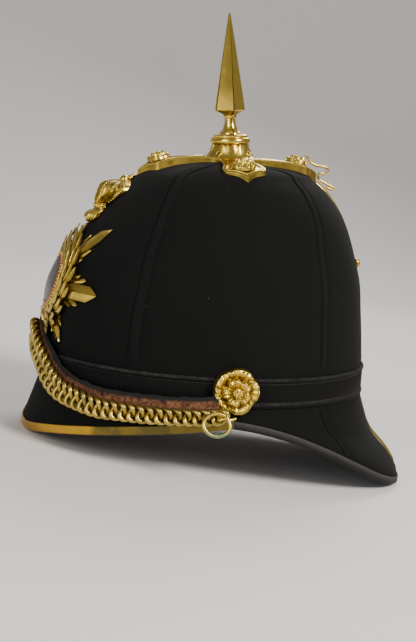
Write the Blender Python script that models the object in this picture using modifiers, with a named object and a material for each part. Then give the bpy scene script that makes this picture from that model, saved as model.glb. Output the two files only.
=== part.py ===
"""Home service helmet: a tall cloth body with two peaks and gilt fittings, resting on its rim.

The helmet's own frame has its origin at the middle of the band's lower edge, the front at -Y, the
wearer's left at +X and the crown at +Z. One empty turns that frame to the rest position, where the
front and rear edges of the rim lie on the floor. All lengths are metres and all angles degrees.
"""
import math

import bmesh
import bpy
import numpy as np
from mathutils import Matrix, Vector

# Clearances
GAP = 0.0003
CROSS_SEAT = 0.0010
LINK_BITE = 0.15

# Rest position
REST_PITCH = 6.5

# Body
CROWN_HEIGHT = 0.1452
CROWN_FRONT = 0.1038
CROWN_REAR = 0.1050
CROWN_SIDE = 0.0870
CROWN_WALL = 0.0032
SEAM_ANGLE = 55.0
SEAM_SPREAD = 1.3
SEAM_RISE = 0.0008

# Peaks, whose reaches are taken from the frame's origin
PEAK_WALL = 0.0024
PEAK_TOP = GAP
SIDE_LINE = 0.0006
FRONT_RIM_REACH = 0.1165
REAR_RIM_REACH = 0.1380
SIDE_RIM_REACH = 0.0925
FRONT_RIM_DROP = 0.0328
SIDE_RIM_LIFT = 0.0350
RIM_FLAT_ANGLE = 8.0
FRONT_RIM_POWER = 1.2
REAR_RIM_POWER = 2.7
HEM_HEIGHT = 0.0058
JOIN_ANGLE = 0.20

# Band and bindings
BAND_HEIGHT = 0.0185
BAND_THICK = 0.0014
BEAD_THICK = 0.0020
BEAD_HEIGHT = 0.0030
FRONT_BINDING_HEIGHT = 0.0048
FRONT_BINDING_THICK = 0.0008
REAR_BINDING_HEIGHT = 0.0052
REAR_BINDING_THICK = 0.0010

# Cross base and spike, in a frame that leans forward at the middle of the crown
BASE_BACK = 0.0075
BASE_ABOVE_CROWN = 0.0031
SPIKE_LEAN = 4.8
ARM_FRONT = 0.0608
ARM_REAR = 0.0580
ARM_SIDE = 0.0500
ARM_SLOPE_FRONT = -0.010
ARM_SLOPE_REAR = 0.085
ARM_SLOPE_SIDE = 0.150
ARM_SINK_FRONT = 0.0
ARM_SINK_REAR = 0.0018
ARM_SINK_SIDE = 0.0010
TIP_DROP_FRONT = 0.0062
TIP_DROP_REAR = 0.0042
TIP_DROP_SIDE = 0.0057
TIP_DROP_POWER = 6
ARM_THICK = 0.0028
ARM_BEVEL = 0.15
DOME_RADIUS = 0.0180
DOME_NECK = 0.0118
DOME_RISE = 0.0079
DOME_POWER = 3.2
DOME_WALL = 0.0016
VENT_RADIUS = 0.0015
VENT_COUNT = 4
VENT_PLACE = 0.0138
VENT_TILT = 62.0
COLLAR_RADIUS = 0.0130
COLLAR_HEIGHT = 0.0058
SPIKE_HEIGHT = 0.0768
SPIKE_CORNER = 0.0099
FRONT_ROSETTE_PLACE = 0.0470
REAR_ROSETTE_PLACE = 0.0440
SIDE_ROSETTE_PLACE = 0.0375
ROSETTE_RADIUS = 0.0076
ROSETTE_HEIGHT = 0.0058

# Back bar and the hook behind the rear arm
BAR_WIDTH = 0.0064
BAR_THICK = 0.0018
STUD_RADIUS = 0.0034
STUD_HEIGHT = 0.0026
STUD_ROW = 9.2
HOOK_WIRE = 0.0008
HOOK_SIZE = 0.0100
EAR_HOOK_WIRE = 0.0009

# Ear bosses
BOSS_RADIUS = 0.0147
BOSS_HEIGHT = 0.0088
BOSS_BACK = 0.0008
BOSS_RISE = 0.0118

# Chain and strap
CHAIN_WIRE = 0.0011
LINK_PITCH = 0.0080
LINK_SIDES = 10
LINK_BEND = 1.6
LINK_WIDTH_EAR = 0.0118
LINK_WIDTH_FRONT = 0.0165
STRAP_WIDTH = 0.0120
STRAP_THICK = 0.0015
STRAP_ABOVE_CHAIN = 0.0030
STRAP_END_ANGLE = 81.5
RING_RADIUS = 0.0080
RING_WIRE = 0.0010
RING_FORWARD = 0.0030

# Plate
STAR_MIDDLE = 0.0600
STAR_RADIUS = 0.0601
STAR_THICK = 0.0014
STAR_LIFT = 0.0015
STAR_FOOT_CUT = 0.335
STAR_HEAD_CUT = 0.29
DIAGONAL_RAYS = 0.95
WREATH_MIDDLE = 0.0630
WREATH_RADIUS = 0.0225
WREATH_WIRE = 0.0030
CENTRE_RADIUS = 0.0180
CENTRE_RISE = 0.0022
BADGE_GAP = 0.0008
BADGE_WIDTH = 0.0165
BADGE_HEIGHT = 0.0250
BADGE_DEPTH = 0.0100

# Crown levels from the top down. rise, front, rear and side are shares of CROWN_HEIGHT,
# CROWN_FRONT, CROWN_REAR and CROWN_SIDE, and seam is the share of SEAM_RISE.
CROWN_ROWS = (
    (1.000, 0.005, 0.129, 0.080, 0.0),
    (0.994, 0.087, 0.210, 0.172, 0.0),
    (0.981, 0.198, 0.424, 0.345, 0.6),
    (0.964, 0.328, 0.552, 0.454, 1.0),
    (0.933, 0.456, 0.611, 0.546, 1.0),
    (0.888, 0.540, 0.688, 0.644, 1.0),
    (0.816, 0.638, 0.773, 0.753, 1.0),
    (0.751, 0.713, 0.827, 0.816, 1.0),
    (0.689, 0.780, 0.862, 0.862, 1.0),
    (0.585, 0.877, 0.914, 0.920, 1.0),
    (0.497, 0.930, 0.948, 0.954, 1.0),
    (0.387, 0.975, 0.968, 0.984, 1.0),
    (0.213, 1.000, 0.995, 1.000, 1.0),
    (0.131, 0.997, 1.000, 1.000, 0.0),
    (0.005, 0.992, 1.000, 1.000, 0.0),
)
# Peaks from the band down to the hem: drop is the share of the height, flare of the reach gained
FRONT_PEAK_ROWS = (
    (0.00, 0.00),
    (0.12, 0.32),
    (0.55, 0.66),
    (1.00, 1.00),
)
REAR_PEAK_ROWS = (
    (0.00, 0.00),
    (0.25, 0.16),
    (0.41, 0.28),
    (0.56, 0.43),
    (0.76, 0.77),
    (0.92, 0.97),
    (1.00, 1.00),
)
# Rings of the cross base: shares of the dome's flare and shares of the arms beyond it
DOME_STEPS = (0.0, 0.22, 0.52, 1.0)
ARM_STEPS = (0.40, 0.72, 0.92, 1.0)
# Half an arm of the cross base: angle from the arm's middle, reach as a share of the arm
ARM_OUTLINE = (
    (0.0, 1.00),
    (7.0, 0.91),
    (19.0, 0.85),
    (21.0, 0.62),
    (30.0, 0.42),
)
# Rings of the plate's star as shares of its outline
STAR_STEPS = (0.15, 0.45, 0.75, 1.0)
# Reach of the star's corners, repeated round it: a ray's tip, its shoulder, the hollow, the shoulder
STAR_REACHES = (1.0, 0.86, 0.66, 0.80)
# Section of the wreath's ring: rise and spread as shares of WREATH_WIRE
WREATH_SECTION = (
    (0.0, -1.0),
    (0.0, 1.0),
    (0.5, 1.0),
    (0.8, 0.0),
    (0.5, -1.0),
)
# Rings of the plate's centre from its back to its middle: reach and rise as shares of its sizes
CENTRE_ROWS = (
    (0.2, 0.00),
    (1.0, 0.00),
    (1.0, 0.35),
    (0.6, 0.80),
    (0.2, 1.00),
)
# Spike from the foot up: rise as a share of SPIKE_HEIGHT, corner and hollow as shares of SPIKE_CORNER
SPIKE_ROWS = (
    (0.000, 0.70, 0.70),
    (0.035, 0.50, 0.50),
    (0.080, 0.41, 0.41),
    (0.125, 0.35, 0.35),
    (0.165, 0.44, 0.40),
    (0.192, 0.80, 0.50),
    (0.212, 1.00, 0.54),
    (0.600, 0.55, 0.29),
    (0.985, 0.07, 0.05),
)
# Petal heads from the back edge to the middle: reach and rise, and how deep the petals are cut
PETAL_ROWS = (
    (0.86, 0.00, 0.0),
    (0.96, 0.16, 1.0),
    (0.88, 0.48, 1.0),
    (0.62, 0.42, 0.5),
    (0.50, 0.80, 0.5),
    (0.24, 0.92, 0.0),
)
# Hook behind the rear rosette: out and up from the arm's top face, as shares of HOOK_SIZE
HOOK_ROUTE = (
    (-0.19, 0.92),
    (0.04, 0.50),
    (0.46, 0.21),
    (0.96, 0.12),
    (1.30, -0.03),
    (1.14, -0.36),
    (0.72, -0.35),
    (0.65, -0.55),
    (0.74, -0.74),
    (1.08, -0.95),
    (1.68, -1.29),
)
# Chain hook from the chain's end link outward: out, back and up, as shares of HOOK_SIZE
EAR_HOOK_ROUTE = (
    (-0.26, -0.02, 0.00),
    (0.20, -0.06, 0.00),
    (0.52, -0.26, 0.00),
    (0.78, -0.14, 0.06),
    (0.80, 0.20, 0.24),
)
# Badge over the star, from its foot up: rise, half width and depth as shares of the BADGE sizes
BADGE_ROWS = (
    (0.00, 0.62, 0.55),
    (0.10, 0.66, 0.65),
    (0.20, 0.60, 0.55),
    (0.42, 1.00, 0.90),
    (0.60, 0.98, 1.00),
    (0.74, 0.62, 0.75),
    (0.80, 0.24, 0.40),
    (0.86, 0.28, 0.42),
    (0.94, 0.20, 0.34),
    (1.00, 0.06, 0.14),
)
# Chain route by hand: angle round the helmet, positive on the wearer's left, and height as a
# share of BAND_HEIGHT. The chain hangs low at the ears and is drawn up over the foot of the plate.
CHAIN_ROUTE = (
    (85.0, -0.20),
    (75.0, -0.26),
    (63.0, -0.22),
    (52.0, -0.17),
    (46.0, -0.13),
    (38.0, 0.04),
    (28.0, 0.23),
    (20.5, 0.50),
    (13.0, 0.83),
    (7.5, 1.02),
    (2.0, 1.28),
    (-6.0, 1.48),
    (-14.0, 1.28),
    (-24.0, 0.70),
    (-36.0, 0.20),
    (-46.0, -0.10),
    (-56.0, -0.19),
    (-70.0, -0.25),
    (-85.0, -0.20),
)

# Finishes: colour, roughness and metallic
FINISHES = {
    "navy_cloth": ((0.012, 0.013, 0.018), 0.95, 0.0),
    "gilt_brass": ((0.640, 0.430, 0.110), 0.35, 1.0),
    "old_brass": ((0.400, 0.300, 0.120), 0.45, 1.0),
    "silver_plate": ((0.520, 0.500, 0.470), 0.35, 1.0),
    "black_leather": ((0.020, 0.018, 0.017), 0.55, 0.0),
    "brown_leather": ((0.180, 0.070, 0.030), 0.75, 0.0),
}


def clear_scene():
    for item in list(bpy.data.objects):
        bpy.data.objects.remove(item, do_unlink=True)


def new_collection(name):
    group = bpy.data.collections.new(name)
    bpy.context.scene.collection.children.link(group)
    return group


def finish(name):
    found = bpy.data.materials.get(name)
    if found:
        return found
    colour, roughness, metallic = FINISHES[name]
    made = bpy.data.materials.new(name)
    made.use_nodes = True
    shader = made.node_tree.nodes["Principled BSDF"]
    shader.inputs["Base Color"].default_value = (*colour, 1.0)
    shader.inputs["Roughness"].default_value = roughness
    shader.inputs["Metallic"].default_value = metallic
    made.diffuse_color = (*colour, 1.0)
    return made


def add_object(name, data, finish_name, place=Matrix.Identity(4)):
    """Put a mesh or curve in the helmet's collection, carried by its root empty."""
    piece = bpy.data.objects.new(name, data)
    helmet.objects.link(piece)
    piece.parent = root
    piece.matrix_local = place
    data.materials.append(finish(finish_name))
    return piece


def mesh_from(bm, name, smooth=True):
    mesh = bpy.data.meshes.new(name)
    bm.to_mesh(mesh)
    bm.free()
    if smooth:
        mesh.shade_smooth()
        mesh.set_sharp_from_angle(angle=math.radians(35))
    return mesh


def loft(name, rings, finish_name, around=False, place=Matrix.Identity(4)):
    """Closed solid through rings of equal count, capped at both ends or closed around."""
    bm = bmesh.new()
    skin(bm, rings, around)
    bmesh.ops.recalc_face_normals(bm, faces=bm.faces)
    return add_object(name, mesh_from(bm, name), finish_name, place)


def skin(bm, rings, around):
    """Add the faces between rings of points, with caps unless they close around."""
    loops = [[bm.verts.new(point) for point in ring] for ring in rings]
    pairs = list(zip(loops, loops[1:]))
    if around:
        pairs.append((loops[-1], loops[0]))
    else:
        bm.faces.new(loops[0])
        bm.faces.new(loops[-1])
    count = len(rings[0])
    for low, high in pairs:
        for k in range(count):
            n = (k + 1) % count
            bm.faces.new((low[k], low[n], high[n], high[k]))


def wall(name, rows, thickness, finish_name, closed):
    """Open surface through rows of points, outer face first, thickened inward by Solidify."""
    bm = bmesh.new()
    grid = [[bm.verts.new(point) for point in row] for row in rows]
    count = len(rows[0])
    for upper, lower in zip(grid, grid[1:]):
        for k in range(count if closed else count - 1):
            n = (k + 1) % count
            bm.faces.new((upper[k], lower[k], lower[n], upper[n]))
    bm.normal_update()
    outward = sum(face.normal.x * face.calc_center_median().x for face in bm.faces)
    if outward < 0:
        bmesh.ops.reverse_faces(bm, faces=bm.faces)
    piece = add_object(name, mesh_from(bm, name), finish_name)
    shell = piece.modifiers.new("wall", "SOLIDIFY")
    shell.thickness = thickness
    shell.offset = -1.0
    return piece


def wire(name, points, radius, finish_name, cyclic=False):
    """Round wire along points, as a curve with filled caps."""
    curve = bpy.data.curves.new(name, "CURVE")
    curve.dimensions = "3D"
    curve.bevel_depth = radius
    curve.bevel_resolution = 1
    curve.use_fill_caps = True
    spline = curve.splines.new("POLY")
    spline.points.add(len(points) - 1)
    for knot, point in zip(spline.points, points):
        knot.co = (*point, 1.0)
    spline.use_cyclic_u = cyclic
    return add_object(name, curve, finish_name)


def turned(name, profile, steps, finish_name, place):
    """Turned solid: the profile runs from the top of the axis, down the outside, to the bottom."""
    bm = bmesh.new()
    verts = [bm.verts.new((radius, 0.0, height)) for radius, height in profile]
    for low, high in zip(verts, verts[1:]):
        bm.edges.new((low, high))
    mesh = mesh_from(bm, name, smooth=False)
    piece = add_object(name, mesh, finish_name, place)
    screw = piece.modifiers.new("turn", "SCREW")
    screw.steps = steps
    screw.render_steps = steps
    screw.use_merge_vertices = True
    screw.merge_threshold = 0.00005
    return piece


def smooth_path(points, count):
    """Evenly spaced points on a Catmull-Rom curve through the given ones."""
    knots = [Vector(point) for point in points]
    ends = [knots[0] * 2 - knots[1], *knots, knots[-1] * 2 - knots[-2]]
    fine = []
    for a, b, c, d in zip(ends, ends[1:], ends[2:], ends[3:]):
        for step in range(24):
            t = step / 24
            fine.append(0.5 * ((2 * b) + (c - a) * t + (2 * a - 5 * b + 4 * c - d) * t * t
                               + (3 * b - a - 3 * c + d) * t ** 3))
    fine.append(knots[-1])
    reach = np.concatenate(([0.0], np.cumsum([(q - p).length for p, q in zip(fine, fine[1:])])))
    wanted = np.linspace(0.0, reach[-1], count)
    axes = [np.interp(wanted, reach, [point[axis] for point in fine]) for axis in range(3)]
    return [Vector(point) for point in zip(*axes)], reach[-1]


def oval(angle, front, rear, side, middle):
    """Point of a level oval at an angle from the front, with its widest line at y = middle."""
    turn = math.radians(angle)
    reach = middle + front if math.cos(turn) > 0 else rear - middle
    return Vector((side * math.sin(turn), middle - reach * math.cos(turn), 0.0))


def crown_size(row):
    """Height, front, rear and side reach of the crown at a row, whole or between two."""
    places = range(len(CROWN_ROWS))
    sizes = (CROWN_HEIGHT, CROWN_FRONT, CROWN_REAR, CROWN_SIDE)
    columns = list(zip(*CROWN_ROWS))
    return [np.interp(row, places, columns[k]) * size for k, size in enumerate(sizes)]


def crown_point(row, angle, out=0.0):
    """Point of the crown's outer face, moved level outward by out."""
    height, front, rear, side = crown_size(row)
    point = oval(angle, front + out, rear + out, side + out, (rear - front) / 2)
    point.z = height
    return point


def crown_row_at(height):
    heights = [row[0] * CROWN_HEIGHT for row in CROWN_ROWS]
    return float(np.interp(-height, [-value for value in heights], range(len(heights))))


def crown_height_over(x, y):
    """Height of the crown's outer face above a point of its plan."""
    low, high = 0.0, len(CROWN_ROWS) - 1.0
    for _ in range(40):
        row = (low + high) / 2
        height, front, rear, side = crown_size(row)
        middle = (rear - front) / 2
        half = (rear + front) / 2
        if ((y - middle) / half) ** 2 + (x / side) ** 2 > 1:
            low = row
        else:
            high = row
    return crown_size(low)[0]


def columns(first, last):
    """Angles of the body's columns, closer together at the seams, kept between two limits."""
    seam = SEAM_ANGLE
    half = [0, RIM_FLAT_ANGLE, 30, seam - SEAM_SPREAD, seam, seam + SEAM_SPREAD, 73, 90]
    full = half + [180 - angle for angle in half[-2::-1]]
    full += [-angle for angle in full[1:-1]]
    return sorted(angle for angle in full if first <= angle <= last)


def on_seam(angle):
    return min(abs(abs(angle) - SEAM_ANGLE), abs(abs(angle) - 180 + SEAM_ANGLE)) < SEAM_SPREAD / 2


def rim_point(angle, out=0.0):
    """Lower edge of the rim's binding, level with the floor at the front and the rear."""
    point = oval(angle, FRONT_RIM_REACH + out, REAR_RIM_REACH + out, SIDE_RIM_REACH + out, SIDE_LINE)
    turn = abs(angle)
    lift = max(0.0, min(turn, 180 - turn) - RIM_FLAT_ANGLE) / (90 - RIM_FLAT_ANGLE)
    if turn <= 90:
        share = lift ** FRONT_RIM_POWER
    else:
        share = math.sin(lift * math.pi / 2) ** REAR_RIM_POWER
    floor = -FRONT_RIM_DROP - math.tan(math.radians(REST_PITCH)) * (point.y + FRONT_RIM_REACH)
    point.z = floor + SIDE_RIM_LIFT * share
    return point


def peak_point(angle, drop, flare, out=0.0):
    """Point of a peak's outer face between the band and the top of the hem."""
    top = oval(angle, CROWN_FRONT + out, CROWN_REAR + out, CROWN_SIDE + out, SIDE_LINE)
    hem = rim_point(angle, out)
    hem_top = hem.z + HEM_HEIGHT
    point = top.lerp(hem, flare)
    point.z = PEAK_TOP + drop * (hem_top - PEAK_TOP)
    return point


def make_crown():
    rows = []
    for k, values in enumerate(CROWN_ROWS):
        row = []
        for angle in columns(-179.0, 180.0):
            out = SEAM_RISE * values[4] if on_seam(angle) else 0.0
            row.append(crown_point(k, angle, out))
        rows.append(row)
    wall("crown_shell", rows, CROWN_WALL, "navy_cloth", closed=True)


def make_peak(name, table, angles, binding_thick):
    rows = []
    for drop, flare in table:
        row = []
        for angle in angles:
            seam = on_seam(angle) and abs(angle) > 90 and 0 < drop < 1
            row.append(peak_point(angle, drop, flare, SEAM_RISE if seam else 0.0))
        rows.append(row)
    edge = [rim_point(angle) for angle in angles]
    for point in edge:
        point.z += binding_thick + GAP
    rows.append(edge)
    wall(name, rows, PEAK_WALL, "navy_cloth", closed=False)


def make_peaks():
    front = [-90 + JOIN_ANGLE, *columns(-89, 89), 90 - JOIN_ANGLE]
    rear = [90 + JOIN_ANGLE, *columns(91, 180)]
    rear += [360 - angle for angle in rear[-2::-1]]
    rear = [angle if angle <= 180 else angle - 360 for angle in rear]
    make_peak("front_peak", FRONT_PEAK_ROWS, front, FRONT_BINDING_THICK)
    make_peak("rear_peak", REAR_PEAK_ROWS, rear, REAR_BINDING_THICK)
    make_binding("front_binding", front, FRONT_BINDING_HEIGHT, FRONT_BINDING_THICK, "gilt_brass")
    make_binding("rear_binding", rear, REAR_BINDING_HEIGHT, REAR_BINDING_THICK, "black_leather")


def make_binding(name, angles, height, thick, finish_name):
    """Strip folded round the hem: an outer leg, the fold and an inner leg."""
    outer = GAP + thick
    back = -PEAK_WALL - GAP
    section = (
        (GAP, height), (outer, height), (outer, thick), (0.0, 0.0),
        (-PEAK_WALL, 0.0), (back - thick, thick), (back - thick, height), (back, height),
        (back, thick), (GAP, thick),
    )
    rings = []
    for angle in angles:
        low = rim_point(angle).z
        ring = []
        for out, rise in section:
            point = rim_point(angle, out)
            point.z = low + rise
            ring.append(point)
        rings.append(ring)
    loft(name, rings, finish_name)


def make_band():
    section = (
        (GAP, 0.0), (BEAD_THICK, 0.0), (BEAD_THICK, BEAD_HEIGHT), (BAND_THICK, BEAD_HEIGHT * 1.2),
        (BAND_THICK, BAND_HEIGHT - BEAD_HEIGHT * 1.2), (BEAD_THICK, BAND_HEIGHT - BEAD_HEIGHT),
        (BEAD_THICK, BAND_HEIGHT), (GAP, BAND_HEIGHT),
    )
    rings = []
    for angle in columns(-179.0, 180.0):
        ring = []
        for out, rise in section:
            point = oval(angle, CROWN_FRONT + out, CROWN_REAR + out, CROWN_SIDE + out, SIDE_LINE)
            point.z = rise + 2 * GAP
            ring.append(point)
        rings.append(ring)
    loft("hat_band", rings, "navy_cloth", around=True)


def base_frame():
    """Place of the cross base and spike: the crown's middle, leaning to the front."""
    lean = Matrix.Rotation(math.radians(SPIKE_LEAN), 4, "X")
    return Matrix.Translation((0.0, BASE_BACK, CROWN_HEIGHT + BASE_ABOVE_CROWN)) @ lean


def arm_size(angle):
    """Reach, slope, sink and drop at the tip of the arm whose middle is at an angle from the front."""
    sizes = {
        0: (ARM_FRONT, ARM_SLOPE_FRONT, ARM_SINK_FRONT, TIP_DROP_FRONT),
        90: (ARM_SIDE, ARM_SLOPE_SIDE, ARM_SINK_SIDE, TIP_DROP_SIDE),
        180: (ARM_REAR, ARM_SLOPE_REAR, ARM_SINK_REAR, TIP_DROP_REAR),
        270: (ARM_SIDE, ARM_SLOPE_SIDE, ARM_SINK_SIDE, TIP_DROP_SIDE),
    }
    return sizes[angle % 360]


def base_outline():
    """Angle from the front, reach and arm of each point round the whole cross base."""
    points = []
    for arm in (0, 90, 180, 270):
        reach = arm_size(arm)[0]
        half = [(angle * ARM_SIDE / reach, reach * share) for angle, share in ARM_OUTLINE]
        points += [(arm - angle, size, arm) for angle, size in half[:0:-1]]
        points += [(arm + angle, size, arm) for angle, size in half]
        points.append((arm + 45, DOME_RADIUS + CROSS_SEAT, arm))
    return points


def base_top(radius, arm):
    """Height of the base's top face: arms turned down at their tips, and the dome in the middle."""
    reach, slope, sink, drop = arm_size(arm)
    beyond = max(0.0, radius - DOME_NECK)
    height = -slope * beyond - drop * (radius / reach) ** TIP_DROP_POWER
    height -= sink * min(1.0, beyond / (DOME_RADIUS - DOME_NECK))
    if radius < DOME_RADIUS:
        share = min(1.0, (DOME_RADIUS - radius) / (DOME_RADIUS - DOME_NECK))
        height += DOME_RISE * share ** DOME_POWER
    return height


def arm_turn(radius, arm):
    """Angle in radians by which an arm's top face turns down at a radius."""
    reach, slope, _, drop = arm_size(arm)
    steepness = slope + TIP_DROP_POWER * drop * (radius / reach) ** (TIP_DROP_POWER - 1) / reach
    return math.atan(steepness)


def make_base():
    place = base_frame()
    inner = [DOME_NECK * 0.3] + [DOME_NECK + (DOME_RADIUS - DOME_NECK) * share for share in DOME_STEPS]
    top = [[] for _ in range(len(inner) + len(ARM_STEPS))]
    bottom = [[] for _ in top]
    for angle, reach, arm in base_outline():
        turn = math.radians(angle)
        out = Vector((math.sin(turn), -math.cos(turn), 0.0))
        radii = inner + [DOME_RADIUS + (reach - DOME_RADIUS) * share for share in ARM_STEPS]
        for k, radius in enumerate(radii):
            height = base_top(radius, arm)
            above = place @ (out * radius + Vector((0.0, 0.0, height)))
            if radius < DOME_RADIUS:
                radius = max(radius * 0.5, radius - DOME_WALL)
                below = place @ (out * radius + Vector((0.0, 0.0, height - DOME_WALL / 2)))
            else:
                below = place @ (out * radius + Vector((0.0, 0.0, height - ARM_THICK)))
                below.z = max(below.z, crown_height_over(below.x, below.y) + CROSS_SEAT)
            if k == len(radii) - 1:
                above = above.lerp(below, ARM_BEVEL)
            top[k].append(above)
            bottom[k].append(below)
    body = loft("cross_base", top + bottom[::-1], "gilt_brass")
    cut_vents(body, place)
    return place


def cut_vents(body, place):
    """Round holes through the dome's wall."""
    share = (DOME_RADIUS - VENT_PLACE) / (DOME_RADIUS - DOME_NECK)
    height = DOME_RISE * share ** DOME_POWER
    for k in range(VENT_COUNT):
        turn = 2 * math.pi * (k + 0.5) / VENT_COUNT
        bpy.ops.mesh.primitive_cylinder_add(vertices=6, radius=VENT_RADIUS, depth=DOME_RISE)
        cutter = bpy.context.active_object
        cutter.name = "vent_cutter_%d" % k
        cutter.data.name = cutter.name
        for holder in list(cutter.users_collection):
            holder.objects.unlink(cutter)
        cutters.objects.link(cutter)
        cutter.parent = root
        lean = Matrix.Rotation(turn, 4, "Z") @ Matrix.Rotation(math.radians(VENT_TILT), 4, "X")
        spot = Vector((VENT_PLACE * math.sin(turn), -VENT_PLACE * math.cos(turn), height))
        cutter.matrix_local = place @ Matrix.Translation(spot) @ lean
        cutter.hide_render = True
        cutter.display_type = "WIRE"
        cut = body.modifiers.new("vent", "BOOLEAN")
        cut.operation = "DIFFERENCE"
        cut.solver = "EXACT"
        cut.object = cutter


def make_spike(place):
    foot = DOME_RISE + GAP
    collar = place @ Matrix.Translation((0.0, 0.0, foot))
    radius, height = COLLAR_RADIUS, COLLAR_HEIGHT
    profile = (
        (0.0, height), (radius * 0.82, height), (radius * 0.86, height * 0.92),
        (radius * 0.86, height * 0.72), (radius * 0.96, height * 0.64), (radius, height * 0.44),
        (radius, height * 0.18), (radius * 0.90, height * 0.06), (radius * 0.90, 0.0), (0.0, 0.0),
    )
    turned("spike_collar", profile, 16, "gilt_brass", collar)
    place = place @ Matrix.Translation((0.0, 0.0, foot + height + GAP))
    rings = []
    for rise, corner, hollow in SPIKE_ROWS:
        ring = []
        for k in range(16):
            share = abs((k % 4) - 2) / 2
            reach = SPIKE_CORNER * (hollow + (corner - hollow) * share ** 1.5)
            turn = math.radians(22.5 * k)
            ring.append((reach * math.cos(turn), reach * math.sin(turn), SPIKE_HEIGHT * rise))
        rings.append(ring)
    loft("spike", rings, "gilt_brass", place=place)


def petal_head(name, radius, height, petals, per_petal, place):
    """Flower-shaped head on a flat back, its outline cut into petals."""
    rings = []
    count = petals * per_petal
    for reach, rise, cut in PETAL_ROWS:
        ring = []
        for k in range(count):
            lobe = abs(math.sin(math.pi * petals * k / count))
            size = radius * reach * (1 - 0.12 * cut * (1 - lobe))
            turn = 2 * math.pi * k / count
            lift = height * rise * (1 - 0.15 * cut * (1 - lobe))
            ring.append((size * math.cos(turn), size * math.sin(turn), lift))
        rings.append(ring)
    loft(name, rings, "gilt_brass", place=place)


def make_rosettes(place):
    arms = {
        "rosette_front": (0, FRONT_ROSETTE_PLACE),
        "rosette_left": (90, SIDE_ROSETTE_PLACE),
        "rosette_rear": (180, REAR_ROSETTE_PLACE),
        "rosette_right": (270, SIDE_ROSETTE_PLACE),
    }
    for name, (angle, radius) in arms.items():
        slope = arm_turn(radius, angle)
        height = base_top(radius, angle) + GAP / math.cos(slope)
        turn = Matrix.Rotation(math.radians(angle), 4, "Z")
        spot = Matrix.Translation((0.0, -radius, height)) @ Matrix.Rotation(slope, 4, "X")
        petal_head(name, ROSETTE_RADIUS, ROSETTE_HEIGHT, 5, 2, place @ turn @ spot)


def back_line():
    """Outer line of the body down the middle of the back: points of y and z."""
    arm_end = BASE_BACK + ARM_REAR + 2 * GAP
    places = range(len(CROWN_ROWS))
    first = float(np.interp(arm_end / CROWN_REAR, [row[2] for row in CROWN_ROWS], places))
    rows = [first] + [k for k in range(len(CROWN_ROWS) - 2) if k > first]
    line = [crown_point(row, 180) for row in rows]
    line = [(point.y, point.z) for point in line]
    band_out = CROWN_REAR + BEAD_THICK
    line += [(band_out, BAND_HEIGHT + 3 * GAP), (band_out, -GAP)]
    for drop, flare in REAR_PEAK_ROWS[2:]:
        point = peak_point(180, drop, flare)
        line.append((point.y, point.z))
    low = rim_point(180)
    binding_out = low.y + GAP + REAR_BINDING_THICK
    line[-1] = (binding_out, line[-1][1] + GAP)
    line.append((binding_out, low.z + REAR_BINDING_THICK))
    return line


def make_back_bar():
    line = back_line()
    half = BAR_WIDTH / 2
    section = ((-half, 0.0), (-half * 0.7, 0.7), (0.0, 1.0), (half * 0.7, 0.7), (half, 0.0))
    rings = []
    for k, (y, z) in enumerate(line):
        before = line[max(0, k - 1)]
        after = line[min(len(line) - 1, k + 1)]
        along = Vector((0.0, after[0] - before[0], after[1] - before[1])).normalized()
        out = Vector((0.0, -along.z, along.y))
        foot = Vector((0.0, y, z)) + out * GAP * 1.6
        rings.append([foot + Vector((x, 0.0, 0.0)) + out * BAR_THICK * rise for x, rise in section])
    loft("back_bar", rings, "gilt_brass")
    spot = crown_point(STUD_ROW, 180)
    below = crown_point(STUD_ROW + 0.5, 180)
    above = crown_point(STUD_ROW - 0.5, 180)
    slope = math.atan2(below.y - above.y, above.z - below.z)
    foot = Matrix.Translation(spot) @ Matrix.Rotation(slope - math.pi / 2, 4, "X")
    foot = foot @ Matrix.Translation((0.0, 0.0, GAP * 3 + BAR_THICK))
    profile = (
        (0.0, STUD_HEIGHT), (STUD_RADIUS * 0.6, STUD_HEIGHT * 0.85), (STUD_RADIUS, STUD_HEIGHT * 0.3),
        (STUD_RADIUS, 0.0), (0.0, 0.0),
    )
    turned("back_bar_stud", profile, 12, "gilt_brass", foot)


def make_rear_hook(place):
    """Wire hook behind the rear rosette: a loop outward, then down past the arm's tip."""
    radius = REAR_ROSETTE_PLACE + ROSETTE_RADIUS + HOOK_WIRE + 2 * GAP
    foot = Vector((0.0, radius, base_top(radius, 180)))
    route = [place @ (foot + Vector((0.0, out, up)) * HOOK_SIZE) for out, up in HOOK_ROUTE]
    points, _ = smooth_path(route, 22)
    wire("rear_hook", points, HOOK_WIRE, "gilt_brass")


def make_bosses():
    """Ear bosses that sit on the band's beads, the right one turned half round."""
    place = Matrix.Translation((CROWN_SIDE + BEAD_THICK + 2 * GAP, BOSS_BACK, BOSS_RISE))
    left = place @ Matrix.Rotation(math.radians(90), 4, "Y") @ Matrix.Rotation(math.radians(90), 4, "Z")
    turn = Matrix.Rotation(math.pi, 4, "Z") @ Matrix.Translation((0.0, -2 * BOSS_BACK, 0.0))
    petal_head("boss_left", BOSS_RADIUS, BOSS_HEIGHT, 5, 5, left)
    petal_head("boss_right", BOSS_RADIUS, BOSS_HEIGHT, 5, 5, turn @ left)


def strap_out():
    """How far the strap's inner face stands outside the crown's side: just clear of the binding."""
    return SIDE_RIM_REACH + GAP + FRONT_BINDING_THICK + GAP


def chain_out():
    """Side reach of the chain's middle line."""
    return strap_out() + STRAP_THICK + GAP + link_depth() / 2


def link_depth():
    return 2 * CHAIN_WIRE * (1 + LINK_BEND)


def front_gain():
    """What the strap's oval adds to the crown's front reach, to pass outside the plate."""
    return STAR_LIFT + STAR_THICK + GAP * 3


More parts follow.
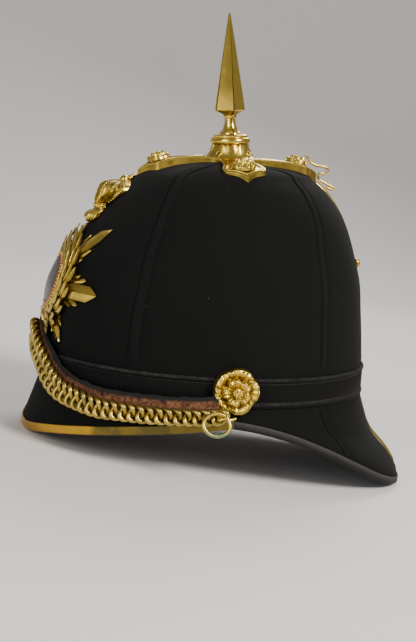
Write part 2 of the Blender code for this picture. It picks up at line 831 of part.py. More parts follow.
def route_point(angle, side, rise=0.0):
    """Point of the chain's route at an angle, on an oval of the given side reach."""
    angles = [-values[0] for values in CHAIN_ROUTE]
    heights = [values[1] * BAND_HEIGHT for values in CHAIN_ROUTE]
    extra = side - strap_out()
    point = oval(angle, CROWN_FRONT + front_gain() + extra, CROWN_REAR, side, SIDE_LINE)
    point.z = float(np.interp(-angle, angles, heights)) + rise
    return point


def route_line(first, last, side, count, rise=0.0):
    """Evenly spaced points along the route between two angles, with its length."""
    knots = [first] + [angle for angle, _ in CHAIN_ROUTE if last < angle < first] + [last]
    return smooth_path([route_point(angle, side, rise) for angle in knots], count)


def make_strap():
    inner, _ = route_line(STRAP_END_ANGLE, -STRAP_END_ANGLE, strap_out(), 35, STRAP_ABOVE_CHAIN)
    half = STRAP_WIDTH / 2
    rings = []
    for k, point in enumerate(inner):
        before, after = inner[max(0, k - 1)], inner[min(len(inner) - 1, k + 1)]
        along = (after - before).normalized()
        out = Vector((along.y, -along.x, 0.0)).normalized()
        out = out if out.dot(point) > 0 else -out
        across = along.cross(out).normalized()
        ring = [(-half, 0.0), (half, 0.0), (half, STRAP_THICK), (-half, STRAP_THICK)]
        rings.append([point + across * x + out * y for x, y in ring])
    loft("chin_strap", rings, "brown_leather")


def link_rings(middle, along, out, width):
    """One curb link as rings of its wire: an oval whose two ends are bent to opposite sides.

    The wire has five corners with one on the inside, where it bites into the next link's.
    """
    across = along.cross(out).normalized()
    half_long = LINK_PITCH / 2 + CHAIN_WIRE * (1 - LINK_BITE)
    half_wide = width / 2 - CHAIN_WIRE
    rings = []
    for k in range(LINK_SIDES):
        turn = 2 * math.pi * (k + 0.5) / LINK_SIDES
        bend = CHAIN_WIRE * LINK_BEND * math.sin(2 * turn)
        spot = middle + along * half_long * math.cos(turn)
        spot += across * half_wide * math.sin(turn) + out * bend
        inward = -(along * half_wide * math.cos(turn) + across * half_long * math.sin(turn)).normalized()
        ring = []
        for corner in range(5):
            spin = 2 * math.pi * corner / 5
            ring.append(spot + (inward * math.cos(spin) + out * math.sin(spin)) * CHAIN_WIRE)
        rings.append(ring)
    return rings


def make_chain():
    first = CHAIN_ROUTE[0][0]
    _, length = route_line(first, -first, chain_out(), 3)
    count = round(length / LINK_PITCH) + 1
    middles, _ = route_line(first, -first, chain_out(), count)
    halves = []
    for part in range(2):
        bm = bmesh.new()
        for k in range(part, count, 2):
            before, after = middles[max(0, k - 1)], middles[min(count - 1, k + 1)]
            along = (after - before).normalized()
            out = Vector((along.y, -along.x, 0.0)).normalized()
            out = out if out.dot(middles[k]) > 0 else -out
            share = math.sin(math.pi * k / (count - 1))
            width = LINK_WIDTH_EAR + (LINK_WIDTH_FRONT - LINK_WIDTH_EAR) * share
            skin(bm, link_rings(middles[k], along, out, width), around=True)
        bmesh.ops.recalc_face_normals(bm, faces=bm.faces)
        bmesh.ops.triangulate(bm, faces=bm.faces)
        halves.append(mesh_from(bm, "chain_half_%d" % part))
    union(halves, "chin_chain", "old_brass")


def union(meshes, name, finish_name):
    """Fuse two meshes of separate rings into one body."""
    body = add_object(name, meshes[0], finish_name)
    other = bpy.data.objects.new(name + "_joined", meshes[1])
    cutters.objects.link(other)
    other.parent = root
    other.hide_render = True
    other.display_type = "WIRE"
    join = body.modifiers.new("join", "BOOLEAN")
    join.operation = "UNION"
    join.solver = "EXACT"
    join.object = other


def make_ear_hooks():
    """Hooks from under the bosses, out through the chain's end links, and the loose end ring."""
    end = route_point(CHAIN_ROUTE[0][0], chain_out())
    start = Vector((SIDE_RIM_REACH + 3 * GAP + HOOK_WIRE, BOSS_BACK, BOSS_RISE))
    start.z -= BOSS_RADIUS + HOOK_WIRE + GAP
    ring_middle = end + Vector((link_depth() / 2 + RING_WIRE + 2 * GAP, -RING_FORWARD, 0.0))
    ring_middle.z += RING_WIRE + HOOK_WIRE + GAP - RING_RADIUS
    route = [start, start + Vector((0.05, -0.30, -0.06)) * HOOK_SIZE]
    route += [end + Vector(row) * HOOK_SIZE for row in EAR_HOOK_ROUTE]
    points, _ = smooth_path(route, 12)
    wire("boss_hook_left", points, EAR_HOOK_WIRE, "gilt_brass")
    mirrored = [Vector((-point.x, point.y, point.z)) for point in points]
    wire("boss_hook_right", mirrored, EAR_HOOK_WIRE, "gilt_brass")
    ring = []
    for k in range(16):
        turn = 2 * math.pi * k / 16
        ring.append(ring_middle + Vector((0.0, math.cos(turn), math.sin(turn))) * RING_RADIUS)
    wire("end_ring", ring, RING_WIRE, "old_brass", cyclic=True)


def front_face(x, z, out):
    """Point on the crown's front at a height, moved outward: x is measured along the level curve."""
    row = crown_row_at(z)
    _, front, rear, side = crown_size(row)
    angle = math.degrees(x / ((side + front) / 2))
    return crown_point(row, angle, out)


def plate_rings(outline, steps, lift, thick):
    """Rings of a solid that lies on the crown's front: front face outward, then the back inward."""
    rings = []
    for share in steps:
        rings.append([front_face(x * share, STAR_MIDDLE + z * share, lift + thick)
                      for x, z in outline])
    for share in steps[::-1]:
        rings.append([front_face(x * share, STAR_MIDDLE + z * share, lift) for x, z in outline])
    return rings


def star_outline():
    """Eight rays, the longer ones upright and level, with hollows between."""
    points = []
    for k in range(32):
        turn = math.radians(11.25 * k)
        reach = STAR_REACHES[k % 4]
        reach *= DIAGONAL_RAYS if k % 8 else 1.0
        rise = math.cos(turn)
        reach *= 1 - (STAR_HEAD_CUT * rise ** 8 if rise > 0 else STAR_FOOT_CUT * (-rise) ** 1.6)
        points.append((STAR_RADIUS * reach * math.sin(turn), STAR_RADIUS * reach * rise))
    return points


def make_plate():
    star = plate_rings(star_outline(), STAR_STEPS, STAR_LIFT, STAR_THICK)
    loft("star_plate", star, "gilt_brass")
    face = STAR_LIFT + STAR_THICK + GAP
    rings = []
    for k in range(24):
        turn = 2 * math.pi * k / 24
        ring = []
        for rise, spread in WREATH_SECTION:
            radius = WREATH_RADIUS + WREATH_WIRE * spread
            ring.append(front_face(radius * math.sin(turn), WREATH_MIDDLE + radius * math.cos(turn),
                                   face + GAP + WREATH_WIRE * rise))
        rings.append(ring)
    loft("plate_wreath", rings, "gilt_brass", around=True)
    rings = []
    inner = WREATH_RADIUS - WREATH_WIRE - GAP
    size = min(CENTRE_RADIUS, inner)
    for share, rise in CENTRE_ROWS:
        ring = []
        for k in range(20):
            turn = 2 * math.pi * k / 20
            ring.append(front_face(size * share * math.sin(turn),
                                   WREATH_MIDDLE + size * share * math.cos(turn),
                                   face + GAP + CENTRE_RISE * rise))
        rings.append(ring)
    loft("plate_centre", rings, "silver_plate")


def make_plate_crown():
    """Arched badge above the star, bulging forward, with an orb at its top."""
    foot = STAR_MIDDLE + STAR_RADIUS * (1 - STAR_HEAD_CUT) + BADGE_GAP
    rings = []
    for rise, width, depth in BADGE_ROWS:
        ring = []
        for k in range(12):
            turn = 2 * math.pi * k / 12
            x = BADGE_WIDTH * width * math.cos(turn)
            out = 3 * GAP + BADGE_DEPTH * depth * max(0.0, math.sin(turn)) ** 0.7
            z = foot + BADGE_HEIGHT * rise
            ring.append(front_face(x, z, out))
        rings.append(ring)
    loft("plate_crown", rings, "gilt_brass")


def stand_on_floor():
    """Move the root so that the whole helmet's box stands on the origin."""
    graph = bpy.context.evaluated_depsgraph_get()
    low = Vector((1.0, 1.0, 1.0))
    high = -low
    for piece in helmet.objects:
        if piece.type == "EMPTY":
            continue
        shown = piece.evaluated_get(graph)
        mesh = shown.to_mesh()
        for vertex in mesh.vertices:
            spot = shown.matrix_world @ vertex.co
            low = Vector(map(min, low, spot))
            high = Vector(map(max, high, spot))
        shown.to_mesh_clear()
    root.location -= Vector(((low.x + high.x) / 2, (low.y + high.y) / 2, low.z))


clear_scene()
helmet = new_collection("home_service_helmet")
cutters = new_collection("cutters")
root = bpy.data.objects.new("helmet_root", None)
helmet.objects.link(root)
root.rotation_euler = (math.radians(REST_PITCH), 0.0, 0.0)
make_crown()
make_peaks()
make_band()
base = make_base()
make_spike(base)
make_rosettes(base)
make_back_bar()
make_rear_hook(base)
make_bosses()
make_strap()
make_chain()
make_ear_hooks()
make_plate()
make_plate_crown()
bpy.context.view_layer.update()
stand_on_floor()
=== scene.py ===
"""Looks of the home service helmet: cloth, gilt fittings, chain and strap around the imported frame.

Shapes are worked out in the helmet's own frame: origin at the middle of the band's lower edge, front
at -Y, the wearer's left at +X, the crown at +Z. WORLD turns that frame to the rest position. All
lengths are metres and all angles degrees, unless a name says otherwise.
"""

import math

import bmesh
import bpy
import numpy as np
from mathutils import Matrix, Vector, noise


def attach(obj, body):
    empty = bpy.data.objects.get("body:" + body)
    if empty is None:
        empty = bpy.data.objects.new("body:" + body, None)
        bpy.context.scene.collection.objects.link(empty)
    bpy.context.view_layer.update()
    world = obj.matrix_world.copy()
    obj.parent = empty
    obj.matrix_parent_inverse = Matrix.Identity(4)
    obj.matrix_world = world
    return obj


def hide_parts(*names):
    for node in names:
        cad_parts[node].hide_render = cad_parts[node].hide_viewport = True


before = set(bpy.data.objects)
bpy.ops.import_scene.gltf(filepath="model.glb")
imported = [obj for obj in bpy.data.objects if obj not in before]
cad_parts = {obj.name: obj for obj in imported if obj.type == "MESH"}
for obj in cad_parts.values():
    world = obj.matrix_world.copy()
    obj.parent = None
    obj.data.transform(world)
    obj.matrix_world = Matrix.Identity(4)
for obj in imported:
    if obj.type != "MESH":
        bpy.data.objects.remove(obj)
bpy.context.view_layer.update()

TAU = 2 * math.pi
GAP = 0.0003
MERGE = 0.000002

# Rest position
REST_PITCH = 6.5
ROOT_PLACE = (0.0, -0.0149419, 0.0460490)
WORLD = Matrix.Translation(ROOT_PLACE) @ Matrix.Rotation(math.radians(REST_PITCH), 4, "X")

# Body
CROWN_HEIGHT = 0.1452
CROWN_FRONT = 0.1038
CROWN_REAR = 0.1050
CROWN_SIDE = 0.0870
CROWN_WALL = 0.0032
SEAM_FOOT = 55.0
SEAM_LEAN_FRONT = 8.0
SEAM_LEAN_REAR = 5.0
SEAM_REACH = 0.0034
SEAM_HALF = 0.0021
SEAM_RISE = 0.0007
SEAM_EDGE = 0.0005
SEAM_EASE = 0.0008
# Depth and half width of a seam's stitched line and of the fold beside its strip
SEAM_LINE = (0.00020, 0.00022)
SEAM_FOLD = (0.00034, 0.0005)
SEAM_FOLD_AWAY = 0.0006
# Columns on each side of a seam's line, their spacing and the angle that they span, and the angle
# that the other columns keep from the line
SEAM_COLUMNS = 9
SEAM_SPACING = 0.3
SEAM_SPAN = 2.7
SEAM_CLEAR = 3.2
COLUMN_SPACING = 2.5
LEVEL_STEPS = 9
# How far behind the origin the body is widest
SIDE_LINE = 0.0006

# Peaks and rim
PEAK_WALL = 0.0024
FRONT_RIM_REACH = 0.1165
REAR_RIM_REACH = 0.1380
SIDE_RIM_REACH = 0.0925
FRONT_RIM_DROP = 0.0328
SIDE_RIM_LIFT = 0.0350
RIM_FLAT_ANGLE = 8.0
FRONT_RIM_POWER = 1.2
REAR_RIM_POWER = 2.7
HEM_HEIGHT = 0.0058
JOIN_ANGLE = 0.04

# Band and bindings
BAND_HEIGHT = 0.0185
BAND_THICK = 0.0014
BEAD_THICK = 0.0021
BEAD_HEIGHT = 0.0030
BAND_COLUMNS = 240
FRONT_BINDING_HEIGHT = 0.0058
FRONT_BINDING_THICK = 0.0008
REAR_BINDING_HEIGHT = 0.0052
REAR_BINDING_THICK = 0.0010
# Angles over which painted shade turns the front binding from bright to dark
BINDING_SHADE_ANGLES = (46.0, 47.5)
# How far the peaks' upper edge tucks up behind the band
TUCK_UP = 0.0014
# Stitches: pitch and half thickness
RIM_STITCH = (0.0022, 0.00024)
BAND_STITCH = (0.0023, 0.00020)

# Cross base and spike
BASE_PLACE = (0.0075, 0.1483)
SPIKE_LEAN = 4.8
CROSS_SEAT = 0.0010
ARM_THICK = 0.0028
TIP_DROP_POWER = 6
DOME_RADIUS = 0.0180
DOME_NECK = 0.0118
DOME_RISE = 0.0079
DOME_POWER = 3.2
VENT_RADIUS = 0.0015
VENT_PLACE = 0.0138
VENT_TILT = 62.0
VENT_DEPTH = 0.0036
VENT_LIP_RAISE = 0.0002
VENT_LIP_WIRE = 0.00045
COLLAR_RADIUS = 0.0130
COLLAR_HEIGHT = 0.0058
SPIKE_HEIGHT = 0.0768
SPIKE_CORNER = 0.0099
# Shares of the height over which the spike turns from round to four-sided, and that bound its groove
SPIKE_TURN = (0.150, 0.195)
SPIKE_GROOVE = (0.152, 0.19)
FRONT_ROSETTE_PLACE = 0.0470
REAR_ROSETTE_PLACE = 0.0440
SIDE_ROSETTE_PLACE = 0.0375
ROSETTE_RADIUS = 0.0076
ROSETTE_HEIGHT = 0.0058

# Back bar and rear hook
BAR_WIDTH = 0.0064
BAR_THICK = 0.0018
STUD_RADIUS = 0.0034
STUD_HEIGHT = 0.0026
STUD_ROW = 9.2
HOOK_WIRE = 0.0008
HOOK_SIZE = 0.0100
EAR_HOOK_WIRE = 0.0009

# Bosses, chain and strap
BOSS_RADIUS = 0.0147
BOSS_HEIGHT = 0.0088
BOSS_PLACE = (0.0008, 0.0118)
BOSS_SPIN = 128
# Turn from one seed of a rose to the next, in radians
SEED_TURN = 2.399963
CHAIN_WIRE = 0.0011
CAD_LINK_BEND = 1.6
LINK_PITCH = 0.0056
LINK_WIRE = 0.00142
LINK_WIDTH_EAR = 0.0106
LINK_WIDTH_FRONT = 0.0172
LINK_GRADE = 2.2
# Links: overlap and bend as shares of the wire, slant as a share of the pitch, step of their tone
LINK_OVERLAP = 1.08
LINK_BEND = 1.25
LINK_SLANT = 0.20
LINK_TONE_STEP = 1.7
STRAP_WIDTH = 0.0138
STRAP_THICK = 0.0015
STRAP_FRAY = 0.0010
STRAP_WAVE = 0.0009
STRAP_ROUGH = 0.00035
STRAP_ABOVE_CHAIN = 0.0045
STRAP_END_ANGLE = 84.5
RING_RADIUS = 0.0080
RING_WIRE = 0.0012
RING_FORWARD = 0.0030
RING_RAISE = 0.0022
RING_LEAN = 24.0
RING_SQUASH = 0.84

# Plate
STAR_MIDDLE = 0.0600
STAR_RADIUS = 0.0601
STAR_THICK = 0.0014
STAR_LIFT = 0.0015
STAR_FOOT_CUT = 0.335
STAR_HEAD_CUT = 0.33
DIAGONAL_RAYS = 0.95
WREATH_MIDDLE = 0.0630
WREATH_RADIUS = 0.0225
WREATH_WIRE = 0.0030
CENTRE_RADIUS = 0.0180
CENTRE_RISE = 0.0022
CENTRE_SIDES = 64
PEARL_COUNT = 48
PEARL_RADIUS = 0.00080
BADGE_FOOT = 0.1008
BADGE_WIDTH = 0.0140
BADGE_HEIGHT = 0.0285
BADGE_DEPTH = 0.0100
# Middles of the badge's arches, as shares of its half turn
BADGE_ARCHES = (0.04, 0.34, 0.66, 0.96)
BADGE_RIBS = 11
ARCH_BEAD = 0.00075
CIRCLET_BEADS = (0.0009, 0.0013)
ORB_RADIUS = 0.0030
CROSS_REACH = 0.0024
CROSS_WIRE = 0.0010
CROSS_END = 0.0014

# Crown levels from the top down. rise, front, rear and side are shares of the crown's sizes, and
# seam is the share of SEAM_RISE.
CROWN_ROWS = (
    (1.000, 0.005, 0.129, 0.080, 0.0),
    (0.994, 0.087, 0.210, 0.172, 0.0),
    (0.981, 0.198, 0.424, 0.345, 0.6),
    (0.964, 0.328, 0.552, 0.454, 1.0),
    (0.933, 0.456, 0.611, 0.546, 1.0),
    (0.888, 0.540, 0.688, 0.644, 1.0),
    (0.816, 0.638, 0.773, 0.753, 1.0),
    (0.751, 0.713, 0.827, 0.816, 1.0),
    (0.689, 0.780, 0.862, 0.862, 1.0),
    (0.585, 0.877, 0.914, 0.920, 1.0),
    (0.497, 0.930, 0.948, 0.954, 1.0),
    (0.387, 0.975, 0.968, 0.984, 1.0),
    (0.213, 1.000, 0.995, 1.000, 1.0),
    (0.131, 0.997, 1.000, 1.000, 0.0),
    (0.005, 0.992, 1.000, 1.000, 0.0),
)
# Peaks from the band down to the hem: drop is the share of the height, flare of the reach gained
FRONT_PEAK_ROWS = (
    (0.00, 0.00),
    (0.12, 0.32),
    (0.55, 0.66),
    (1.00, 1.00),
)
REAR_PEAK_ROWS = (
    (0.00, 0.00),
    (0.25, 0.16),
    (0.41, 0.28),
    (0.56, 0.43),
    (0.76, 0.77),
    (0.92, 0.97),
    (1.00, 1.00),
)
# Arms of the cross base by angle from the front: reach, slope, sink at the dome and drop at the tip
ARMS = {
    0: (0.0608, -0.010, 0.0, 0.0082),
    90: (0.0495, 0.140, 0.0010, 0.0050),
    180: (0.0580, 0.085, 0.0018, 0.0064),
    270: (0.0495, 0.140, 0.0010, 0.0050),
}
# Half an arm of the cross base: angle from the arm's middle, reach as a share of the arm
ARM_OUTLINE = (
    (0.0, 1.00),
    (7.0, 0.91),
    (19.0, 0.85),
    (21.0, 0.62),
    (30.0, 0.42),
)
# Moulded edge of the cross base: inset from the outline, height over the arm's face
ARM_MOULDING = (
    (0.0000, -0.0006),
    (0.0000, 0.0000),
    (0.0004, 0.0004),
    (0.0010, 0.0004),
    (0.0012, -0.0001),
    (0.0017, -0.0001),
    (0.0020, 0.0005),
    (0.0025, 0.0006),
    (0.0030, 0.0004),
    (0.0033, -0.0002),
    (0.0040, 0.0000),
)
# Spike from the foot up: rise as a share of SPIKE_HEIGHT, corner and hollow as shares of SPIKE_CORNER
SPIKE_ROWS = (
    (0.000, 0.72, 0.72),
    (0.010, 0.70, 0.70),
    (0.025, 0.58, 0.58),
    (0.045, 0.47, 0.47),
    (0.075, 0.39, 0.39),
    (0.105, 0.355, 0.355),
    (0.130, 0.350, 0.350),
    (0.136, 0.420, 0.420),
    (0.150, 0.430, 0.430),
    (0.157, 0.400, 0.390),
    (0.171, 0.58, 0.50),
    (0.185, 0.80, 0.58),
    (0.196, 0.97, 0.655),
    (0.205, 1.00, 0.675),
    (0.400, 0.775, 0.520),
    (0.600, 0.54, 0.365),
    (0.800, 0.30, 0.205),
    (0.985, 0.07, 0.055),
)
# Collar disc: radius and height as shares of its sizes, from the foot up
COLLAR_ROWS = (
    (0.85, 0.00),
    (0.93, 0.00),
    (0.97, 0.03),
    (0.99, 0.10),
    (1.00, 0.24),
    (1.00, 0.38),
    (0.985, 0.50),
    (0.955, 0.60),
    (0.90, 0.665),
    (0.865, 0.68),
    (0.860, 0.70),
    (0.875, 0.78),
    (0.870, 0.88),
    (0.845, 0.95),
    (0.80, 1.00),
    (0.60, 1.00),
    (0.40, 1.00),
)
# Stud of the back bar: radius and height as shares of its sizes
STUD_ROWS = (
    (0.90, 0.00),
    (1.00, 0.10),
    (1.00, 0.30),
    (0.93, 0.50),
    (0.78, 0.70),
    (0.55, 0.87),
    (0.28, 0.97),
    (0.05, 1.00),
)
# Hook behind the rear rosette: out and up from its foot on the arm, as shares of HOOK_SIZE
HOOK_ROUTE = (
    (-0.19, 0.92),
    (0.04, 0.50),
    (0.46, 0.21),
    (0.96, 0.12),
    (1.30, -0.03),
    (1.14, -0.36),
    (0.72, -0.35),
    (0.65, -0.55),
    (0.74, -0.74),
    (1.08, -0.95),
    (1.68, -1.29),
    (1.73, -1.37),
    (1.62, -1.42),
    (1.24, -1.27),
)
# Chain hook from the chain's end link outward: out, back and up, as shares of HOOK_SIZE
EAR_HOOK_ROUTE = (
    (-0.26, -0.02, 0.00),
    (0.20, -0.06, 0.00),
    (0.52, -0.26, 0.00),
    (0.78, -0.14, 0.06),
    (0.80, 0.20, 0.24),
)
# Badge over the star, from its foot up: rise, half width and depth as shares of the BADGE sizes
BADGE_ROWS = (
    (0.00, 0.50, 0.15),
    (0.06, 0.64, 0.40),
    (0.12, 0.70, 0.60),
    (0.19, 0.70, 0.68),
    (0.25, 0.66, 0.62),
    (0.30, 0.62, 0.50),
    (0.42, 0.66, 0.60),
    (0.52, 0.84, 0.80),
    (0.64, 1.00, 1.02),
    (0.76, 1.02, 1.24),
    (0.86, 0.90, 1.38),
    (0.92, 0.66, 1.34),
    (0.96, 0.38, 1.05),
    (1.00, 0.06, 0.40),
)
# Rays of one bundle of the star: angle from its middle, half width as an angle, reach and rise as
# shares of the middle ray's, and the share of the reach over which the tip narrows
RAY_STEPS = (
    (0.0, 7.8, 1.00, 1.00, 0.19),
    (9.6, 2.8, 0.80, 0.84, 0.11),
    (14.0, 2.5, 0.69, 0.72, 0.11),
    (18.0, 2.3, 0.57, 0.60, 0.11),
)
RAY_RIDGE = 1.15
RAY_FOOT = 0.18
# Sections across a ray and a leaf: side and height as shares
RAY_SECTION = (
    (-1.0, 0.0),
    (-1.0, 0.30),
    (-0.5, 0.66),
    (0.0, 1.0),
    (0.5, 0.66),
    (1.0, 0.30),
    (1.0, 0.0),
)
LEAF_SECTION = (
    (-1.0, 0.0),
    (-0.55, 0.55),
    (-0.12, 0.55),
    (0.0, 1.0),
    (0.12, 0.55),
    (0.55, 0.55),
    (1.0, 0.0),
    (0.0, -0.3),
)
# Leaves at one station of the wreath: lean outward, place across the branch, rise and size
LEAF_ROWS = (
    (26, 2.50, 0.0002, 0.92),
    (15, 1.60, 0.0006, 1.00),
    (-8, -0.60, 0.0006, 0.95),
    (4, 0.50, 0.0012, 1.00),
)
LEAF_STATIONS = 8
LEAF_LENGTH = 0.0145
LEAF_WIDTH = 0.0056
LEAF_THICK = 0.0010
# Berries: size, place to either side of the branch and rise
BERRY_RADIUS = 0.0008
BERRY_AWAY = 0.0020
BERRY_RAISE = 0.0012
# Tie at the wreath's foot: lean of each turn of wire, then half length, wire, bulge, rise and the
# spread for each degree of lean
TIE_LEANS = (-30, -10, 10, 30)
TIE_HALF = 0.0044
TIE_WIRE = 0.0009
TIE_BULGE = 0.0014
TIE_RAISE = 0.0006
TIE_SPREAD = 0.00006
# Plate's centre from its back to its middle: reach, rise and how red, where the enamel ring lies
CENTRE_ROWS = (
    (0.00, 0.00, 0.0),
    (0.97, 0.00, 0.0),
    (1.00, 0.05, 0.0),
    (1.00, 0.40, 0.0),
    (0.97, 0.50, 0.0),
    (0.95, 0.50, 1.0),
    (0.84, 0.62, 1.0),
    (0.82, 0.66, 0.0),
    (0.80, 0.76, 0.0),
    (0.72, 0.90, 0.0),
    (0.60, 1.02, 0.0),
    (0.45, 1.10, 0.0),
    (0.25, 1.16, 0.0),
    (0.00, 1.18, 0.0),
)
# Chain route: angle round the helmet and height as a share of BAND_HEIGHT
CHAIN_ROUTE = (
    (85.0, -0.14),
    (75.0, -0.21),
    (63.0, -0.25),
    (52.0, -0.26),
    (46.0, -0.27),
    (38.0, -0.17),
    (28.0, 0.01),
    (20.5, 0.32),
    (13.0, 0.78),
    (7.5, 1.02),
    (2.0, 1.28),
    (-6.0, 1.48),
    (-14.0, 1.28),
    (-24.0, 0.70),
    (-36.0, 0.20),
    (-46.0, -0.10),
    (-56.0, -0.19),
    (-70.0, -0.25),
    (-85.0, -0.20),
)

# Camera of the photograph, in the helmet's frame: where it looks from and how far its middle is off
CAMERA_YAW = 12.769
CAMERA_PITCH = 8.669
CAMERA_ROLL = 4.330
CAMERA_DISTANCE = 0.88536
CAMERA_OFFSET = (0.003934, 0.039003)
PICTURE = (416, 642)
PICTURE_SCALE = 1506.0
SENSOR = 36.0

# Stage: floor's front edge, radius of its bend, top and half width, and the air's colour and strength
FLOOR_FRONT = 2.2
FLOOR_BEND = 1.2
FLOOR_TOP = 4.0
FLOOR_HALF = 4.0
AIR_COLOUR = (0.60, 0.57, 0.56, 1.0)
AIR_STRENGTH = 0.42
# Soft lights: name, place, size, power and colour
LIGHT_AIM = (0.0, 0.0, 0.15)
LIGHTS = (
    ("key", (1.1, 0.75, 1.15), (0.55, 0.55), 36.0, (1.0, 0.96, 0.90)),
    ("fill", (1.2, -1.3, 0.6), (0.8, 1.1), 17.0, (0.96, 0.98, 1.0)),
    ("rim", (-1.1, 0.5, 1.2), (0.7, 0.7), 14.0, (1.0, 1.0, 1.0)),
)


class Maths:
    """A shader value that takes part in Python expressions."""

    def __init__(self, shader, socket):
        self.shader = shader
        self.socket = socket

    def join(self, operation, left, right):
        return self.shader.node("ShaderNodeMath", {"operation": operation}, {0: left, 1: right})

    def __add__(self, other):
        return self.join("ADD", self, other)

    __radd__ = __add__

    def __sub__(self, other):
        return self.join("SUBTRACT", self, other)

    def __rsub__(self, other):
        return self.join("SUBTRACT", other, self)

    def __mul__(self, other):
        return self.join("MULTIPLY", self, other)

    __rmul__ = __mul__


class Shader:
    """A material and the nodes that make it."""

    def __init__(self, name):
        self.material = bpy.data.materials.new(name)
        self.material.use_nodes = True
        self.tree = self.material.node_tree
        self.surface = self.tree.nodes["Principled BSDF"]

    def node(self, kind, settings=None, sockets=None, output=0):
        """Add a node: settings first, with a ramp's stops among them, then its sockets."""
        made = self.tree.nodes.new(kind)
        for key, value in (settings or {}).items():
            if key == "stops":
                self.set_stops(made.color_ramp, value)
            else:
                setattr(made, key, value)
        for key, value in (sockets or {}).items():
            self.feed(made.inputs[key], value)
        return Maths(self, made.outputs[output])

    def set_stops(self, ramp, stops):
        for k, (place, shade) in enumerate(stops):
            stop = ramp.elements[k] if k < 2 else ramp.elements.new(place)
            stop.position = place
            stop.color = (shade, shade, shade, 1.0)

    def feed(self, socket, value):
        if isinstance(value, Maths):
            self.tree.links.new(value.socket, socket)
        else:
            socket.default_value = value

    def set(self, **values):
        """Feed the Principled sockets, whose names are written with underscores."""
        for key, value in values.items():
            self.feed(self.surface.inputs[key.replace("_", " ").title().replace("Ior", "IOR")], value)

    def place(self):
        return self.node("ShaderNodeTexCoord", output="Object")

    def noise(self, scale, detail=3.0, roughness=0.5):
        sockets = {"Vector": self.place(), "Scale": scale, "Detail": detail, "Roughness": roughness}
        return self.node("ShaderNodeTexNoise", {}, sockets)

    def cells(self, scale):
        return self.node("ShaderNodeTexVoronoi", {}, {"Vector": self.place(), "Scale": scale})

    def ramp(self, value, *stops):
        return self.node("ShaderNodeValToRGB", {"stops": stops}, {"Fac": value})

    def held(self, name):
        """A value that the mesh holds for each point."""
        return self.node("ShaderNodeAttribute", {"attribute_name": name}, output="Fac")

    def blend(self, share, first, second):
        """Mix two colours."""
        first = first if isinstance(first, Maths) else (*first, 1.0)
        second = second if isinstance(second, Maths) else (*second, 1.0)
        return self.node("ShaderNodeMix", {"data_type": "RGBA"}, {0: share, 6: first, 7: second}, 2)

    def bump(self, height, distance, strength=1.0):
        return self.node("ShaderNodeBump", {}, {"Height": height, "Distance": distance, "Strength": strength})

    def stain(self, share, colour):
        """Blend a colour over the base colour so far."""
        kept = self.surface.inputs["Base Color"].links[0].from_socket
        self.set(base_color=self.blend(share, Maths(self, kept), colour))


def wool_cloth():
    """Near-black wool: fine nap, lint caught in it and dust with a painted highlight on the raised edges."""
    shader = Shader("navy_cloth")
    nap = shader.noise(2600.0, 2.0, 0.7)
    patches = shader.noise(28.0, 4.0, 0.6)
    lint = shader.ramp(shader.cells(150.0), (0.0, 1.0), (0.055, 0.0))
    sparse = shader.ramp(shader.noise(70.0, 1.0), (0.60, 0.0), (0.66, 1.0))
    # Lighter where the mesh's wear says so: wear along the seams, dust and a painted highlight on the band's
    # raised edges
    wear_dust_and_highlight = shader.held("wear") * shader.ramp(shader.noise(240.0, 4.0, 0.8), (0.40, 0.15), (0.68, 1.0))
    colour = shader.blend(patches, (0.0022, 0.0024, 0.0023), (0.0046, 0.0048, 0.0046))
    colour = shader.blend(nap * 0.4, colour, (0.0100, 0.0102, 0.0098))
    colour = shader.blend(wear_dust_and_highlight * 0.7, colour, (0.045, 0.044, 0.040))
    colour = shader.blend(lint * sparse * 0.8, colour, (0.20, 0.20, 0.19))
    height = nap * 0.6 + shader.noise(900.0, 3.0, 0.6) * 0.8
    shader.set(base_color=colour, roughness=0.93, normal=shader.bump(height, 0.00022, 0.7))
    shader.set(specular_ior_level=0.10, sheen_weight=0.03, sheen_roughness=0.45)
    return shader.material


def metal(name, bright, tarnish_shade_colour, polish, grime):
    """Plated brass: bright on the high places; tarnish and painted shade make it darker and rough in the
    hollows.
    """
    shader = Shader(name)
    clouds = shader.noise(90.0, 5.0, 0.62)
    # Tarnish and painted shade in the hollows, with clouds of darker tone over them
    tarnish_and_shade = shader.held("hollow") * 0.85 + shader.ramp(clouds, (0.48, 0.0), (0.80, 0.55))
    colour = shader.blend(tarnish_and_shade, bright, tarnish_shade_colour)
    scratches = shader.noise(1500.0, 3.0, 0.7)
    shader.set(base_color=colour, metallic=1.0, roughness=polish + tarnish_and_shade * grime + scratches * 0.10)
    shader.set(normal=shader.bump(scratches * 0.5 + clouds, 0.00006, 0.6))
    return shader


def gilt_brass():
    return metal("gilt_brass", (0.80, 0.575, 0.095), (0.15, 0.10, 0.017), 0.16, 0.30).material


def rim_brass():
    return metal("rim_brass", (0.58, 0.33, 0.030), (0.13, 0.105, 0.030), 0.25, 0.22).material


def old_brass():
    """Dulled brass with green corrosion where the mesh says so."""
    shader = metal("old_brass", (0.62, 0.46, 0.110), (0.090, 0.066, 0.018), 0.20, 0.28)
    spots = shader.ramp(shader.noise(420.0, 4.0, 0.7), (0.38, 0.0), (0.52, 1.0))
    shader.stain(shader.held("green") * spots, (0.10, 0.30, 0.19))
    return shader.material


def dull_silver():
    """Dull grey metal, with red enamel where the mesh says so."""
    shader = metal("silver_plate", (0.27, 0.26, 0.25), (0.07, 0.065, 0.060), 0.34, 0.30)
    red = shader.held("red")
    shader.stain(red, (0.30, 0.035, 0.020))
    shader.set(metallic=1.0 - red * 0.85)
    return shader.material


